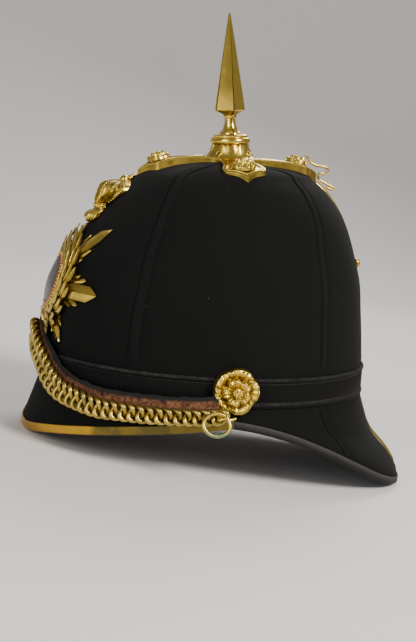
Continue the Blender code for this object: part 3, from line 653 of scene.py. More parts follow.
def black_leather():
    """Black leather with a fine grain, greyed along its edges."""
    shader = Shader("black_leather")
    grain = shader.cells(1300.0)
    colour = shader.blend(shader.noise(180.0, 4.0, 0.7), (0.0060, 0.0058, 0.0056), (0.018, 0.0175, 0.017))
    colour = shader.blend(shader.held("wear") * 0.5, colour, (0.085, 0.080, 0.076))
    shader.set(base_color=colour, roughness=0.62 + grain * 0.25)
    shader.set(normal=shader.bump(grain, 0.00014, 0.8), specular_ior_level=0.16)
    return shader.material


def brown_leather():
    """Worn red-brown leather, rubbed pale in places and dark along the velvet."""
    shader = Shader("brown_leather")
    rubbed = shader.ramp(shader.noise(420.0, 6.0, 0.75), (0.38, 0.0), (0.66, 1.0))
    colour = shader.blend(rubbed, (0.070, 0.022, 0.010), (0.42, 0.18, 0.075))
    colour = shader.blend(shader.held("wear"), colour, (0.014, 0.013, 0.012))
    fibres = shader.noise(1500.0, 6.0, 0.8)
    shader.set(base_color=colour, roughness=0.82, normal=shader.bump(fibres + rubbed, 0.0008, 1.0))
    shader.set(specular_ior_level=0.3)
    return shader.material


def thread():
    """Black waxed thread."""
    shader = Shader("black_thread")
    twist = shader.noise(3000.0, 2.0)
    shader.set(base_color=shader.blend(twist, (0.018, 0.018, 0.018), (0.060, 0.058, 0.055)), roughness=0.6)
    return shader.material


def pale_floor():
    shader = Shader("pale_floor")
    tone = shader.noise(3.0, 3.0)
    shader.set(base_color=shader.blend(tone, (0.78, 0.755, 0.735), (0.82, 0.795, 0.775)), roughness=0.75)
    return shader.material


def between(table, place):
    """Columns of a table at a row, whole or between two, on a smooth curve through the rows."""
    place = min(max(place, 0.0), len(table) - 1.0)
    k = min(int(place), len(table) - 2)
    t = place - k
    b, c = table[k], table[k + 1]
    a = table[k - 1] if k else [2 * p - q for p, q in zip(b, c)]
    d = table[k + 2] if k + 2 < len(table) else [2 * q - p for p, q in zip(b, c)]
    return [0.5 * (2 * q + (r - p) * t + (2 * p - 5 * q + 4 * r - s) * t * t
                   + (3 * q - p - 3 * r + s) * t ** 3) for p, q, r, s in zip(a, b, c, d)]


def smooth_path(points, count):
    """Evenly spaced points on a smooth curve through the given ones, and its length."""
    knots = [tuple(point) for point in points]
    fine = [Vector(between(knots, k / 24)) for k in range(24 * (len(knots) - 1) + 1)]
    reach = np.concatenate(([0.0], np.cumsum([(q - p).length for p, q in zip(fine, fine[1:])])))
    wanted = np.linspace(0.0, reach[-1], count)
    axes = [np.interp(wanted, reach, [point[axis] for point in fine]) for axis in range(3)]
    return [Vector(point) for point in zip(*axes)], reach[-1]


def step(value, low, high):
    """Rise smoothly from 0 at low to 1 at high."""
    share = min(max((value - low) / (high - low), 0.0), 1.0)
    return share * share * (3 - 2 * share)


def oval(angle, front, rear, side, middle):
    turn = math.radians(angle)
    reach = middle + front if math.cos(turn) > 0 else rear - middle
    return Vector((side * math.sin(turn), middle - reach * math.cos(turn), 0.0))


def crown_size(row):
    """Height, front, rear and side reach of the crown at a row, and its share of the seam."""
    rise, front, rear, side, seam = between(CROWN_ROWS, row)
    return rise * CROWN_HEIGHT, front * CROWN_FRONT, rear * CROWN_REAR, side * CROWN_SIDE, seam


def crown_point(row, angle, out=0.0):
    height, front, rear, side, _ = crown_size(row)
    point = oval(angle, front + out, rear + out, side + out, (rear - front) / 2)
    point.z = height
    return point


def find_row(past):
    """Row of the crown where a test on a row turns true."""
    low, high = 0.0, len(CROWN_ROWS) - 1.0
    for _ in range(34):
        row = (low + high) / 2
        if past(row):
            high = row
        else:
            low = row
    return low


def crown_height_over(x, y):
    """Height of the crown's outer face above a point of its plan."""
    def outside(row):
        _, front, rear, side, _ = crown_size(row)
        return ((y - (rear - front) / 2) / ((rear + front) / 2)) ** 2 + (x / side) ** 2 < 1
    return crown_size(find_row(outside))[0]


def rim_point(angle, out=0.0):
    """Lower edge of the rim's binding, level with the floor at the front and the rear."""
    point = oval(angle, FRONT_RIM_REACH + out, REAR_RIM_REACH + out, SIDE_RIM_REACH + out, SIDE_LINE)
    turn = abs(angle)
    lift = max(0.0, min(turn, 180 - turn) - RIM_FLAT_ANGLE) / (90 - RIM_FLAT_ANGLE)
    if turn <= 90:
        share = lift ** FRONT_RIM_POWER
    else:
        share = math.sin(lift * math.pi / 2) ** REAR_RIM_POWER
    floor = -FRONT_RIM_DROP - math.tan(math.radians(REST_PITCH)) * (point.y + FRONT_RIM_REACH)
    point.z = floor + SIDE_RIM_LIFT * share
    return point


def peak_point(table, angle, place, lowest):
    """Point of a peak's outer face: place runs over the table's rows and then down the hem."""
    drop, flare = between(table, place)
    top = oval(angle, CROWN_FRONT, CROWN_REAR, CROWN_SIDE, SIDE_LINE)
    hem = rim_point(angle)
    point = top.lerp(hem, flare)
    point.z = GAP + TUCK_UP * (1 - drop) + drop * (hem.z + HEM_HEIGHT - GAP)
    below = max(0.0, place - len(table) + 1)
    point.z -= below * (HEM_HEIGHT - lowest)
    return point


def seam_angles(share):
    """Angles of the front and the rear seam, which lean to the middle towards the top."""
    return SEAM_FOOT - SEAM_LEAN_FRONT * share, 180 - SEAM_FOOT + SEAM_LEAN_REAR * share ** 3


def seam_columns(first, last):
    """Angles of a body's columns, with SEAM_COLUMNS of them on each side of a seam's line."""
    seams = [side * angle for side in (-1, 1) for angle in (SEAM_FOOT, 180 - SEAM_FOOT)]
    found = {round(first, 3), round(last, 3)}
    for seam in seams:
        if first < seam < last:
            found |= {round(seam + SEAM_SPACING * k, 3) for k in range(-SEAM_COLUMNS, SEAM_COLUMNS + 1)}
    count = round((last - first) / COLUMN_SPACING)
    for k in range(1, count):
        angle = first + (last - first) * k / count
        if all(abs(angle - seam) > SEAM_CLEAR for seam in seams):
            found.add(round(angle, 3))
    return sorted(found)


def warp(angle, share, radius):
    """Move a column so that those beside a seam keep SEAM_REACH from it at any radius."""
    front, rear = seam_angles(share)
    half = min(math.degrees(SEAM_REACH / max(radius, 0.008)), 16.0)
    knots = [0, SEAM_FOOT - SEAM_SPAN, SEAM_FOOT + SEAM_SPAN,
             180 - SEAM_FOOT - SEAM_SPAN, 180 - SEAM_FOOT + SEAM_SPAN, 180]
    moved = [0, front - half, front + half, rear - half, rear + half, 180]
    return math.copysign(float(np.interp(abs(angle), knots, moved)), angle)


def seam_offset(angle):
    """Signed distance of a column from the nearest seam, or None away from the seams."""
    for seam in (SEAM_FOOT, 180 - SEAM_FOOT):
        away = abs(angle) - seam
        if abs(away) <= SEAM_SPAN + 0.01:
            return away / SEAM_SPAN * SEAM_REACH
    return None


def seam_height(offset):
    """Lapped seam: a flat strip with round edges and a fine line along each row of stitches."""
    if offset is None:
        return 0.0
    strip = step(SEAM_HALF + SEAM_EDGE - abs(offset), 0.0, SEAM_EASE)
    line = math.exp(-((abs(offset) - SEAM_HALF * 0.72) / SEAM_LINE[1]) ** 2)
    fold = math.exp(-((abs(offset) - SEAM_HALF - SEAM_FOLD_AWAY) / SEAM_FOLD[1]) ** 2)
    return SEAM_RISE * strip - SEAM_LINE[0] * line - SEAM_FOLD[0] * fold


def way_out(spot):
    """Level way outward at a spot of the body."""
    return Vector((spot.x, spot.y - SIDE_LINE, 0.0)).normalized()


def swing(x, y, turn):
    """Point of the plan turned about the upright axis."""
    return Vector((x * math.cos(turn) - y * math.sin(turn), x * math.sin(turn) + y * math.cos(turn), 0.0))


def grid(columns, rows, place):
    """Grid of columns by rows whose points are put where place(column, row) says.

    place gives a point, or a point and a dict of the values that the mesh holds there.
    """
    bm = bmesh.new()
    bmesh.ops.create_grid(bm, x_segments=columns, y_segments=rows, size=0.5)
    held = {}
    for vert in bm.verts:
        found = place(round((vert.co.x + 0.5) * columns), round((vert.co.y + 0.5) * rows))
        if isinstance(found, tuple):
            found, values = found
            for key, value in values.items():
                held.setdefault(key, []).append((vert.index, value))
        vert.co = found
    for key, pairs in held.items():
        layer = bm.verts.layers.float.new(key)
        bm.verts.ensure_lookup_table()
        for index, value in pairs:
            bm.verts[index][layer] = value
    return bm


def close(bm, ends=False):
    """Join a grid's meeting edges and turn its faces outward."""
    bmesh.ops.remove_doubles(bm, verts=bm.verts, dist=MERGE)
    if ends:
        bmesh.ops.holes_fill(bm, edges=[edge for edge in bm.edges if edge.is_boundary])
    bmesh.ops.recalc_face_normals(bm, faces=bm.faces)


def skin(columns, rows, place, ends=False):
    """Grid with its meeting edges joined and, if asked, its ends filled."""
    bm = grid(columns, rows, place)
    close(bm, ends)
    return bm


def as_mesh(name, bm):
    """Mesh made of a bmesh, which is freed."""
    mesh = bpy.data.meshes.new(name)
    bm.to_mesh(mesh)
    bm.free()
    return mesh


def put(name, data):
    """Object with the given data, in the scene."""
    made = bpy.data.objects.new(name, data)
    bpy.context.scene.collection.objects.link(made)
    return made


def join(parts):
    """Put several bmeshes into one."""
    whole = bmesh.new()
    for name in ("wear", "hollow", "green", "red"):
        whole.verts.layers.float.new(name)
    for part in parts:
        mesh = as_mesh("part", part)
        whole.from_mesh(mesh)
        bpy.data.meshes.remove(mesh)
    return whole


def add_piece(name, bm, material, nodes, sharp=45.0, wall=0.0):
    """Make the object, put it in the world and say what it rides on and stands for."""
    bmesh.ops.transform(bm, matrix=WORLD, verts=bm.verts)
    if wall:
        middle = Vector((0.0, 0.0, 0.05))
        outward = sum(face.normal.dot(face.calc_center_median() - middle) for face in bm.faces)
        if outward < 0:
            bmesh.ops.reverse_faces(bm, faces=bm.faces)
    mesh = as_mesh(name, bm)
    mesh.shade_smooth()
    mesh.set_sharp_from_angle(angle=math.radians(sharp))
    mesh.materials.append(material)
    piece = put(name, mesh)
    if wall:
        shell = piece.modifiers.new("wall", "SOLIDIFY")
        shell.thickness = wall
        shell.offset = -1.0
    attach(piece, "root")
    if nodes:
        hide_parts(*nodes)
    return piece


def tube(points, radius, sides=10, closed=False, held=None):
    """Round wire along points, with round ends unless it is closed."""
    count = len(points)
    middle = sum(points, Vector()) / count
    frames = []
    side = None
    for k in range(count + 1 if closed else count):
        point = points[k % count]
        before = points[k % count - 1] if k or closed else point
        after = points[(k + 1) % count] if k + 1 < count or closed else point
        along = (after - before).normalized()
        side = point - middle if closed else side or along.orthogonal().normalized()
        side = (side - along * side.dot(along)).normalized()
        frames.append((point, side, along.cross(side).normalized(), along))
    # Rings that round off each end
    caps = 2

    def place(column, row):
        turn = TAU * column / sides
        if closed:
            k, size, shift = row, 1.0, 0.0
        else:
            k = min(max(row - caps - 1, 0), count - 1)
            over = max(caps + 1 - row if row <= caps else row - (caps + count), 0)
            lean = (math.pi / 2) * over / (caps + 1)
            size, shift = math.cos(lean), math.sin(lean)
            shift = -shift if row <= caps else shift
        point, first, second, along = frames[k]
        ring = (first * math.cos(turn) + second * math.sin(turn)) * radius * size
        spot = point + ring + along * radius * shift
        return (spot, held(k / max(1, count - 1))) if held else spot

    return skin(sides, count if closed else count - 1 + 2 * (caps + 1), place)


def turned(profile, sides, place):
    """Solid of revolution, closed by its own rows of radius and height."""
    bm = bmesh.new()
    verts = [bm.verts.new((radius, 0.0, height)) for radius, height in profile]
    edges = [bm.edges.new(pair) for pair in zip(verts, verts[1:])]
    bmesh.ops.spin(bm, geom=verts + edges, cent=(0, 0, 0), axis=(0, 0, 1), angle=TAU, steps=sides,
                   use_merge=True)
    close(bm, ends=True)
    bmesh.ops.transform(bm, matrix=place, verts=bm.verts)
    return bm


def bead(place, radius, detail=1):
    """Small round bead."""
    bm = bmesh.new()
    bmesh.ops.create_icosphere(bm, subdivisions=detail, radius=radius)
    bmesh.ops.transform(bm, matrix=place, verts=bm.verts)
    return bm


def stitch_row(spots, size):
    """Row of thread stitches: each lies between two spots, lifted on the line's outer side."""
    parts = []
    for before, after, out in spots:
        along = (after - before).normalized()
        across = out.cross(along).normalized()
        turn = Matrix((along, across, out)).transposed().to_4x4()
        middle = Matrix.Translation((before + after) / 2)
        bm = bmesh.new()
        bmesh.ops.create_icosphere(bm, subdivisions=1, radius=1.0)
        bmesh.ops.scale(bm, vec=((after - before).length * 0.42, size, size), verts=bm.verts)
        bmesh.ops.transform(bm, matrix=middle @ turn, verts=bm.verts)
        parts.append(bm)
    return join(parts)


def along_line(points, pitch):
    """Pairs of spots at a pitch along a line of points, with the way out from the helmet's axis."""
    _, length = smooth_path(points, 2)
    line, _ = smooth_path(points, round(length / pitch) + 1)
    pairs = []
    for before, after in zip(line, line[1:]):
        out = way_out(before)
        along = (after - before).normalized()
        pairs.append((before, after, (out - along * out.dot(along)).normalized()))
    return pairs


def make_crown(cloth):
    """Cloth body: smooth panels with four lapped seams."""
    angles = seam_columns(-180.0, 180.0)
    last = len(CROWN_ROWS) - 1

    def place(column, row):
        level = row / LEVEL_STEPS
        height, _, _, side, seam = crown_size(level)
        share = step(height / CROWN_HEIGHT, 0.45, 1.0)
        angle = warp(angles[column], share, side)
        spot = crown_point(level, angle)
        raised = seam_height(seam_offset(angles[column])) * seam
        slope = crown_point(min(level + 0.1, last), angle) - crown_point(max(level - 0.1, 0), angle)
        across = crown_point(level, angle + 0.5) - crown_point(level, angle - 0.5)
        normal = slope.cross(across).normalized()
        ease = noise.noise(spot * 38.0) * 0.00035
        near_seam = 1 - abs(seam_offset(angles[column]) or SEAM_REACH) / SEAM_REACH
        return spot + normal * (raised + ease), {"wear": 0.12 * near_seam * seam}

    bm = skin(len(angles) - 1, LEVEL_STEPS * last, place)
    add_piece("crown_shell", bm, cloth, ["crown_shell"], wall=CROWN_WALL)


def make_peak(name, table, angles, binding_thick, cloth):
    last = len(table) - 1
    lowest = binding_thick + GAP

    def place(column, row):
        level = row / LEVEL_STEPS
        angle = angles[column]
        if seam_offset(angle) is not None and last > 3:
            angle = warp(angle, 0.0, SIDE_RIM_REACH)
        spot = peak_point(table, angle, level, lowest)
        height = seam_height(seam_offset(angles[column])) if last > 3 else 0.0
        fade = step(level, 0.0, 0.3) * step(last - level, 0.0, 0.3)
        return spot + way_out(spot) * height * fade

    bm = skin(len(angles) - 1, LEVEL_STEPS * (last + 1), place)
    add_piece(name, bm, cloth, [name], wall=PEAK_WALL)


def make_peaks(cloth, brass, leather, stitches):
    front = seam_columns(-90 + JOIN_ANGLE, 90 - JOIN_ANGLE)
    rear = seam_columns(90 + JOIN_ANGLE, 180.0)
    rear += [-angle for angle in rear[-2::-1]]
    make_peak("front_peak", FRONT_PEAK_ROWS, front, FRONT_BINDING_THICK, cloth)
    make_peak("rear_peak", REAR_PEAK_ROWS, rear, REAR_BINDING_THICK, cloth)
    make_binding("front_binding", front, FRONT_BINDING_HEIGHT, FRONT_BINDING_THICK, brass)
    make_binding("rear_binding", rear, REAR_BINDING_HEIGHT, REAR_BINDING_THICK, leather)
    line = []
    for angle in rear:
        point = rim_point(angle, GAP + REAR_BINDING_THICK)
        point.z = rim_point(angle).z + REAR_BINDING_HEIGHT * 0.80
        line.append(point)
    row = stitch_row(along_line(line, RIM_STITCH[0]), RIM_STITCH[1])
    add_piece("rim_stitches", row, stitches, [])


def binding_section(height, thick):
    """Strip folded round the hem, as out and up: outer leg, round fold, inner leg."""
    outer, inner = GAP + thick, -PEAK_WALL - GAP - thick
    middle, half = (outer + inner) / 2, (outer - inner) / 2
    section = [(GAP, height), (outer - thick * 0.4, height), (outer, height - thick * 0.4)]
    for k in range(11):
        turn = math.pi * k / 10
        section.append((middle + half * math.cos(turn), thick * 1.6 - thick * 1.6 * math.sin(turn)))
    section += [(inner, height - thick * 0.4), (inner + thick * 0.4, height), (inner + thick, height)]
    section += [(inner + thick, thick), (GAP, thick)]
    return section


def make_binding(name, angles, height, thick, material):
    section = binding_section(height, thick)

    def place(column, row):
        angle = angles[row]
        out, rise = section[column % len(section)]
        low = rim_point(angle).z
        point = rim_point(angle, out)
        point.z = low + rise + noise.noise(point * 60.0) * 0.00012 * step(rise, 0.0, 0.002)
        # hollow here is painted shade that darkens the front binding past its shade angles
        return point, {"wear": 1.0 if column in (1, 2) else 0.0, "hollow": step(angle, *BINDING_SHADE_ANGLES)}

    bm = skin(len(section), len(angles) - 1, place, ends=True)
    add_piece(name, bm, material, [name], sharp=35.0)


def band_section():
    """Band with a round bead along each edge, as out and up."""
    section = [(GAP, 0.0)]
    for side in (0, 1):
        arc = []
        for k in range(9):
            turn = math.pi * k / 8
            rise = BEAD_HEIGHT * (0.5 - 0.5 * math.cos(turn))
            out = BAND_THICK * 0.55 + (BEAD_THICK - BAND_THICK * 0.55) * math.sin(turn)
            arc.append((out, rise))
        arc.append((BAND_THICK * 0.5, BEAD_HEIGHT * 1.06))
        arc.append((BAND_THICK, BEAD_HEIGHT * 1.30))
        if side:
            arc = [(out, BAND_HEIGHT - rise) for out, rise in arc[::-1]]
        section += arc
    return section + [(GAP, BAND_HEIGHT)]


def band_point(angle, out, rise):
    point = oval(angle, CROWN_FRONT + out, CROWN_REAR + out, CROWN_SIDE + out, SIDE_LINE)
    point.z = rise + 2 * GAP
    return point


def make_band(cloth, stitches):
    """Cloth band whose two edges are turned over and stitched."""
    section = band_section()

    def place(column, row):
        out, rise = section[column % len(section)]
        angle = 360 * (row % BAND_COLUMNS) / BAND_COLUMNS
        spot = band_point(angle, out, rise)
        # low and high mark the beads' upper faces, made lighter with dust and a painted highlight
        low = step(rise, BEAD_HEIGHT * 0.5, BEAD_HEIGHT * 0.9) * step(BEAD_HEIGHT * 1.2 - rise, 0, 0.0003)
        high = step(rise, BAND_HEIGHT - BEAD_HEIGHT * 0.7, BAND_HEIGHT - BEAD_HEIGHT * 0.2)
        spot.z += noise.noise(spot * 45.0) * 0.0002
        return spot, {"wear": max(low, high) if out > GAP * 2 else 0.0}

    bm = skin(len(section), BAND_COLUMNS, place)
    add_piece("hat_band", bm, cloth, ["hat_band"], sharp=60.0)
    lines = []
    for rise in (BEAD_HEIGHT * 1.14, BAND_HEIGHT - BEAD_HEIGHT * 1.14):
        ring = [band_point(3 * k, BAND_THICK * 0.72, rise) for k in range(-60, 61)]
        lines += along_line(ring, BAND_STITCH[0])
    add_piece("band_stitches", stitch_row(lines, BAND_STITCH[1]), stitches, [])


def base_frame():
    lean = Matrix.Rotation(math.radians(SPIKE_LEAN), 4, "X")
    return Matrix.Translation((0.0, *BASE_PLACE)) @ lean


def arm_size(turn):
    """Row of ARMS for the way towards an angle from the front."""
    ahead = ARMS[0] if math.cos(turn) > 0 else ARMS[180]
    share = step(abs(math.cos(turn)), 0.45, 0.90)
    return [first * share + second * (1 - share) for first, second in zip(ahead, ARMS[90])]


def base_top(radius, turn):
    """Height of the cross base's top: arms turned down at their tips, and the flared dome."""
    reach, slope, sink, drop = arm_size(turn)
    beyond = max(0.0, radius - DOME_NECK)
    height = -slope * beyond - drop * (radius / reach) ** TIP_DROP_POWER
    height -= sink * min(1.0, beyond / (DOME_RADIUS - DOME_NECK))
    if radius < DOME_RADIUS:
        share = min(1.0, (DOME_RADIUS - radius) / (DOME_RADIUS - DOME_NECK))
        height += DOME_RISE * share ** DOME_POWER
    return height


def arm_turn(radius, turn):
    """Angle in radians by which an arm's top face turns down at a radius."""
    reach, slope, _, drop = arm_size(turn)
    return math.atan(slope + TIP_DROP_POWER * drop * (radius / reach) ** (TIP_DROP_POWER - 1) / reach)


def base_outline():
    """Points of the cross base's outline in plan, with the way inward at each."""
    points = []
    for arm in (0, 90, 180, 270):
        reach = ARMS[arm][0]
        side = [(angle * ARMS[90][0] / reach, reach * share) for angle, share in ARM_OUTLINE]
        side.append((45.0, DOME_RADIUS + CROSS_SEAT))
        knots = [(size * math.sin(math.radians(angle)), size * math.cos(math.radians(angle)), 0.0)
                 for angle, size in side]
        line, _ = smooth_path(knots, 30)
        turn = math.radians(arm)
        for sign, run in ((-1, line[:0:-1]), (1, line[:-1])):
            for point in run:
                points.append(swing(sign * point.x, -point.y, turn))
    inward = []
    count = len(points)
    for k, point in enumerate(points):
        first = (point - points[k - 1]).normalized()
        second = (points[(k + 1) % count] - point).normalized()
        middle = (first + second).normalized()
        side = Vector((-middle.y, middle.x, 0.0))
        side = side if side.dot(point) < 0 else -side
        inward.append(side / max(0.5, middle.dot(first)))
    return points, inward


def make_base(gilt):
    """Cross base: four moulded arms that meet in the flared dome, with vents through it."""
    place = base_frame()
    points, inward = base_outline()
    count = len(points)
    inner_rows = 26
    under_rows = 5
    edge = ARM_MOULDING[-1][0]

    def spot_at(column, inset):
        k = column % count
        return points[k] + inward[k] * inset

    def cover(spot):
        radius = spot.length
        return base_top(radius, math.atan2(spot.x, -spot.y))

    def set_down(spot, lift):
        below = place @ Vector((spot.x, spot.y, cover(spot) - ARM_THICK))
        below.z = crown_height_over(below.x, below.y) + lift
        return below

    # hollow: tarnish and painted shade, darkest under the arms, then in the moulding's grooves and at the
    # seat
    def top_place(column, row):
        if row < 1:
            return set_down(spot_at(column, 0.0), CROSS_SEAT * 0.3), {"hollow": 0.6}
        if row <= len(ARM_MOULDING):
            inset, rise = ARM_MOULDING[row - 1]
            spot = spot_at(column, inset)
            spot.z = cover(spot) + rise
            low = set_down(spot_at(column, 0.0), CROSS_SEAT)
            made = place @ spot
            made.z = max(made.z, low.z + rise + 0.0006)
            return made, {"hollow": 0.9 if rise < 0 else 0.0}
        share = (row - len(ARM_MOULDING)) / inner_rows
        spot = spot_at(column, edge) * (1 - share)
        spot.z = cover(spot)
        return place @ spot, {"hollow": 0.25 * step(share, 0.0, 0.1) * (1 - share)}

    def under_place(column, row):
        share = row / under_rows
        spot = spot_at(column, 0.0) * (1 - share)
        if row == 0:
            return set_down(spot, CROSS_SEAT * 0.3), {"hollow": 0.6}
        return set_down(spot, CROSS_SEAT), {"hollow": 1.0}

    top = grid(count, len(ARM_MOULDING) + inner_rows, top_place)
    under = grid(count, under_rows, under_place)
    whole = join([top, under])
    close(whole)
    base = add_piece("cross_base", whole, gilt, ["cross_base"], sharp=32.0)
    lips = []
    for k in range(4):
        turn = TAU * (k + 0.5) / 4
        spot = Vector((VENT_PLACE * math.sin(turn), -VENT_PLACE * math.cos(turn), 0.0))
        spot.z = base_top(VENT_PLACE, turn)
        lean = Matrix.Rotation(turn, 4, "Z") @ Matrix.Rotation(math.radians(VENT_TILT), 4, "X")
        frame_here = place @ Matrix.Translation(spot) @ lean
        drill(base, WORLD @ frame_here)
        lip = [frame_here @ Vector((VENT_RADIUS * math.cos(a), VENT_RADIUS * math.sin(a), VENT_LIP_RAISE))
               for a in np.linspace(0, TAU, 24, endpoint=False)]
        lips.append(tube(lip, VENT_LIP_WIRE, 8, closed=True))
    add_piece("vent_lips", join(lips), gilt, [])
    return place


def drill(piece, place):
    """Sink a blind round hole into a piece."""
    bm = bmesh.new()
    bmesh.ops.create_cone(bm, cap_ends=True, segments=24, radius1=VENT_RADIUS, radius2=VENT_RADIUS,
                          depth=VENT_DEPTH, matrix=place)
    mesh = as_mesh("drill", bm)
    cutter = put("drill", mesh)
    cut = piece.modifiers.new("drill", "BOOLEAN")
    cut.operation = "DIFFERENCE"
    cut.solver = "EXACT"
    cut.object = cutter
    with bpy.context.temp_override(object=piece, active_object=piece, selected_objects=[piece]):
        bpy.ops.object.modifier_apply(modifier=cut.name)
    bpy.data.objects.remove(cutter, do_unlink=True)
    bpy.data.meshes.remove(mesh)


def make_spike(place, gilt):
    """Collar disc and the four-sided spike, hollow between its edges."""
    foot = DOME_RISE + GAP
    profile = [(COLLAR_RADIUS * radius, COLLAR_HEIGHT * rise) for radius, rise in COLLAR_ROWS]
    collar = turned(profile, 72, place @ Matrix.Translation((0.0, 0.0, foot)))
    add_piece("spike_collar", collar, gilt, ["spike_collar"], sharp=30.0)
    stand = place @ Matrix.Translation((0.0, 0.0, foot + COLLAR_HEIGHT + GAP))
    face_steps = 10

    def place_point(column, row):
        if row >= len(SPIKE_ROWS):
            return stand @ Vector((0.0, 0.0, SPIKE_HEIGHT)), {"hollow": 0.0}
        rise, corner, hollow = SPIKE_ROWS[row]
        face, k = divmod(column, face_steps)
        t = 2 * k / face_steps - 1
        flat = corner * math.cos(math.pi / 4)
        x = t * corner * math.sin(math.pi / 4)
        y = hollow + (flat - hollow) * t * t
        away = t * math.pi / 4
        ease = step(rise, *SPIKE_TURN)
        x = x * ease + corner * math.sin(away) * (1 - ease)
        y = y * ease + corner * math.cos(away) * (1 - ease)
        spot = swing(x, y, math.radians(45 + 90 * face)) * SPIKE_CORNER
        spot.z = SPIKE_HEIGHT * rise
        # The groove darkens with tarnish and painted shade
        groove = 0.8 if SPIKE_GROOVE[0] < rise < SPIKE_GROOVE[1] else 0.0
        return stand @ spot, {"hollow": groove}

    bm = skin(4 * face_steps, len(SPIKE_ROWS), place_point, ends=True)
    add_piece("spike", bm, gilt, ["spike"], sharp=28.0)


def rose_relief(turn, share, petals=5):
    """Relief of a double rose: outline, height and hollow at an angle and a share of the outline."""
    across = (turn * petals / TAU) % 1 - 0.5
    full = max(0.0, math.cos(across * math.pi))
    gap = 0.5 - abs(across)
    outline = max(0.90 + 0.10 * full ** 0.7, 1.0 - gap * 4.2)
    barb = step(0.085 - gap, 0.0, 0.05)
    ridge = math.sin(math.pi * min(1.0, max(0.0, (share - 0.52) / 0.48)) ** 1.4)
    outer = 0.16 + (0.34 * full ** 0.5 * (1 - barb) + 0.22 * barb) * ridge
    outer += 0.10 * step(share, 0.90, 0.965) * (1 - step(share, 0.975, 1.0)) * full
    inner_across = (turn * petals / TAU + 0.5) % 1 - 0.5
    inner_full = max(0.0, math.cos(inner_across * math.pi))
    inner_reach = 0.46 + 0.22 * inner_full ** 0.6
    inside = step(inner_reach - share, 0.0, 0.035)
    curl = math.sin(math.pi * min(1.0, max(0.0, (share - 0.16) / (inner_reach - 0.16))) ** 1.6)
    inner = 0.46 + 0.30 * inner_full ** 0.5 * curl
    height = outer * (1 - inside) + inner * inside
    heart = step(0.24 - share, 0.0, 0.04)
    height = height * (1 - heart) + heart * (0.66 + 0.20 * (1 - (share / 0.24) ** 2))
    crumple = 0.035 * math.sin(turn * petals * 4 + 3 * share) * (1 - heart) * step(share, 0.25, 0.5)
    envelope = 0.92 - 0.42 * share
    # hollow: tarnish and painted shade in the low places of the relief
    hollow = min(1.0, max(0.0, (envelope - height) * 1.7))
    edge = step(1.0 - share, 0.0, 0.05)
    return outline, (height + crumple) * edge, hollow


def rose(radius, height, place, fine, vary=0.0):
    """Embossed rose on a flat back, with seeds at its heart. vary makes one casting unlike another."""
    around, out = (200, 56) if fine else (110, 34)
    back = 3

    def place_point(column, row):
        turn = TAU * (column % around) / around
        if row < back:
            outline, _, _ = rose_relief(turn, 1.0)
            reach = radius * outline * (0.0, 0.86, 0.94)[row]
            rise = 0.0
            hollow = 0.8
        else:
            share = 1 - (row - back) / (out - back)
            outline, rise, hollow = rose_relief(turn, share)
            reach = radius * outline * share
            rough = noise.noise(Vector((reach * math.cos(turn), reach * math.sin(turn), vary)) * 900) * 0.03
            rise = rise + 0.06 + rough * step(share, 0.02, 0.2) * step(1 - share, 0.0, 0.1)
            if row == back:
                rise = 0.05
        spot = Vector((reach * math.cos(turn), reach * math.sin(turn), height * rise))
        return place @ spot, {"hollow": hollow}

    parts = [skin(around, out, place_point)]
    seeds = 16 if fine else 7
    for k in range(seeds):
        turn = SEED_TURN * k
        reach = radius * 0.21 * math.sqrt((k + 0.4) / seeds)
        rise = height * (0.90 - 0.12 * (k / seeds))
        spot = place @ Matrix.Translation((reach * math.cos(turn), reach * math.sin(turn), rise))
        parts.append(bead(spot, radius * 0.052))
    return join(parts)


def make_rosettes(place, gilt):
    arms = {
        "rosette_front": (0, FRONT_ROSETTE_PLACE),
        "rosette_left": (90, SIDE_ROSETTE_PLACE),
        "rosette_rear": (180, REAR_ROSETTE_PLACE),
        "rosette_right": (270, SIDE_ROSETTE_PLACE),
    }
    for name, (angle, radius) in arms.items():
        turn = math.radians(angle)
        slope = arm_turn(radius, turn)
        height = base_top(radius, turn) + GAP / math.cos(slope)
        spin = Matrix.Rotation(turn, 4, "Z")
        spot = Matrix.Translation((0.0, -radius, height)) @ Matrix.Rotation(slope, 4, "X")
        spot = place @ spin @ spot @ Matrix.Rotation(math.radians(90), 4, "Z")
        add_piece(name, rose(ROSETTE_RADIUS, ROSETTE_HEIGHT, spot, False, angle), gilt, [name])


def make_bosses(gilt):
    """Rose bosses over the ears, the right one turned half round."""
    place = Matrix.Translation((CROWN_SIDE + BEAD_THICK + 2 * GAP, *BOSS_PLACE))
    spin = Matrix.Rotation(math.radians(BOSS_SPIN), 4, "Z")
    left = place @ Matrix.Rotation(math.radians(90), 4, "Y") @ spin
    turn = Matrix.Rotation(math.pi, 4, "Z") @ Matrix.Translation((0.0, -2 * BOSS_PLACE[0], 0.0))
    for name, spot in (("boss_left", left), ("boss_right", turn @ left)):
        add_piece(name, rose(BOSS_RADIUS, BOSS_HEIGHT, spot, True), gilt, [name])


def back_line():
    """Outer line of the body down the middle of the back: points of y and z."""
    arm_end = BASE_PLACE[0] + ARMS[180][0] + 2 * GAP
    first = find_row(lambda row: crown_size(row)[2] > arm_end)
    rows = np.linspace(first, len(CROWN_ROWS) - 2.2, 26)
    line = [(point.y, point.z) for point in (crown_point(row, 180) for row in rows)]
    band_out = CROWN_REAR + BEAD_THICK
    line += [(band_out, BAND_HEIGHT + 3 * GAP), (band_out, -GAP)]
    last = len(REAR_PEAK_ROWS) - 1
    for place in np.linspace(2.0, last - 0.05, 12):
        point = peak_point(REAR_PEAK_ROWS, 180, place, 0.0)
        line.append((point.y, point.z))
    low = rim_point(180)
    binding_out = low.y + GAP + REAR_BINDING_THICK
    line.append((binding_out, low.z + HEM_HEIGHT))
    line.append((binding_out, low.z + REAR_BINDING_THICK))
    return line


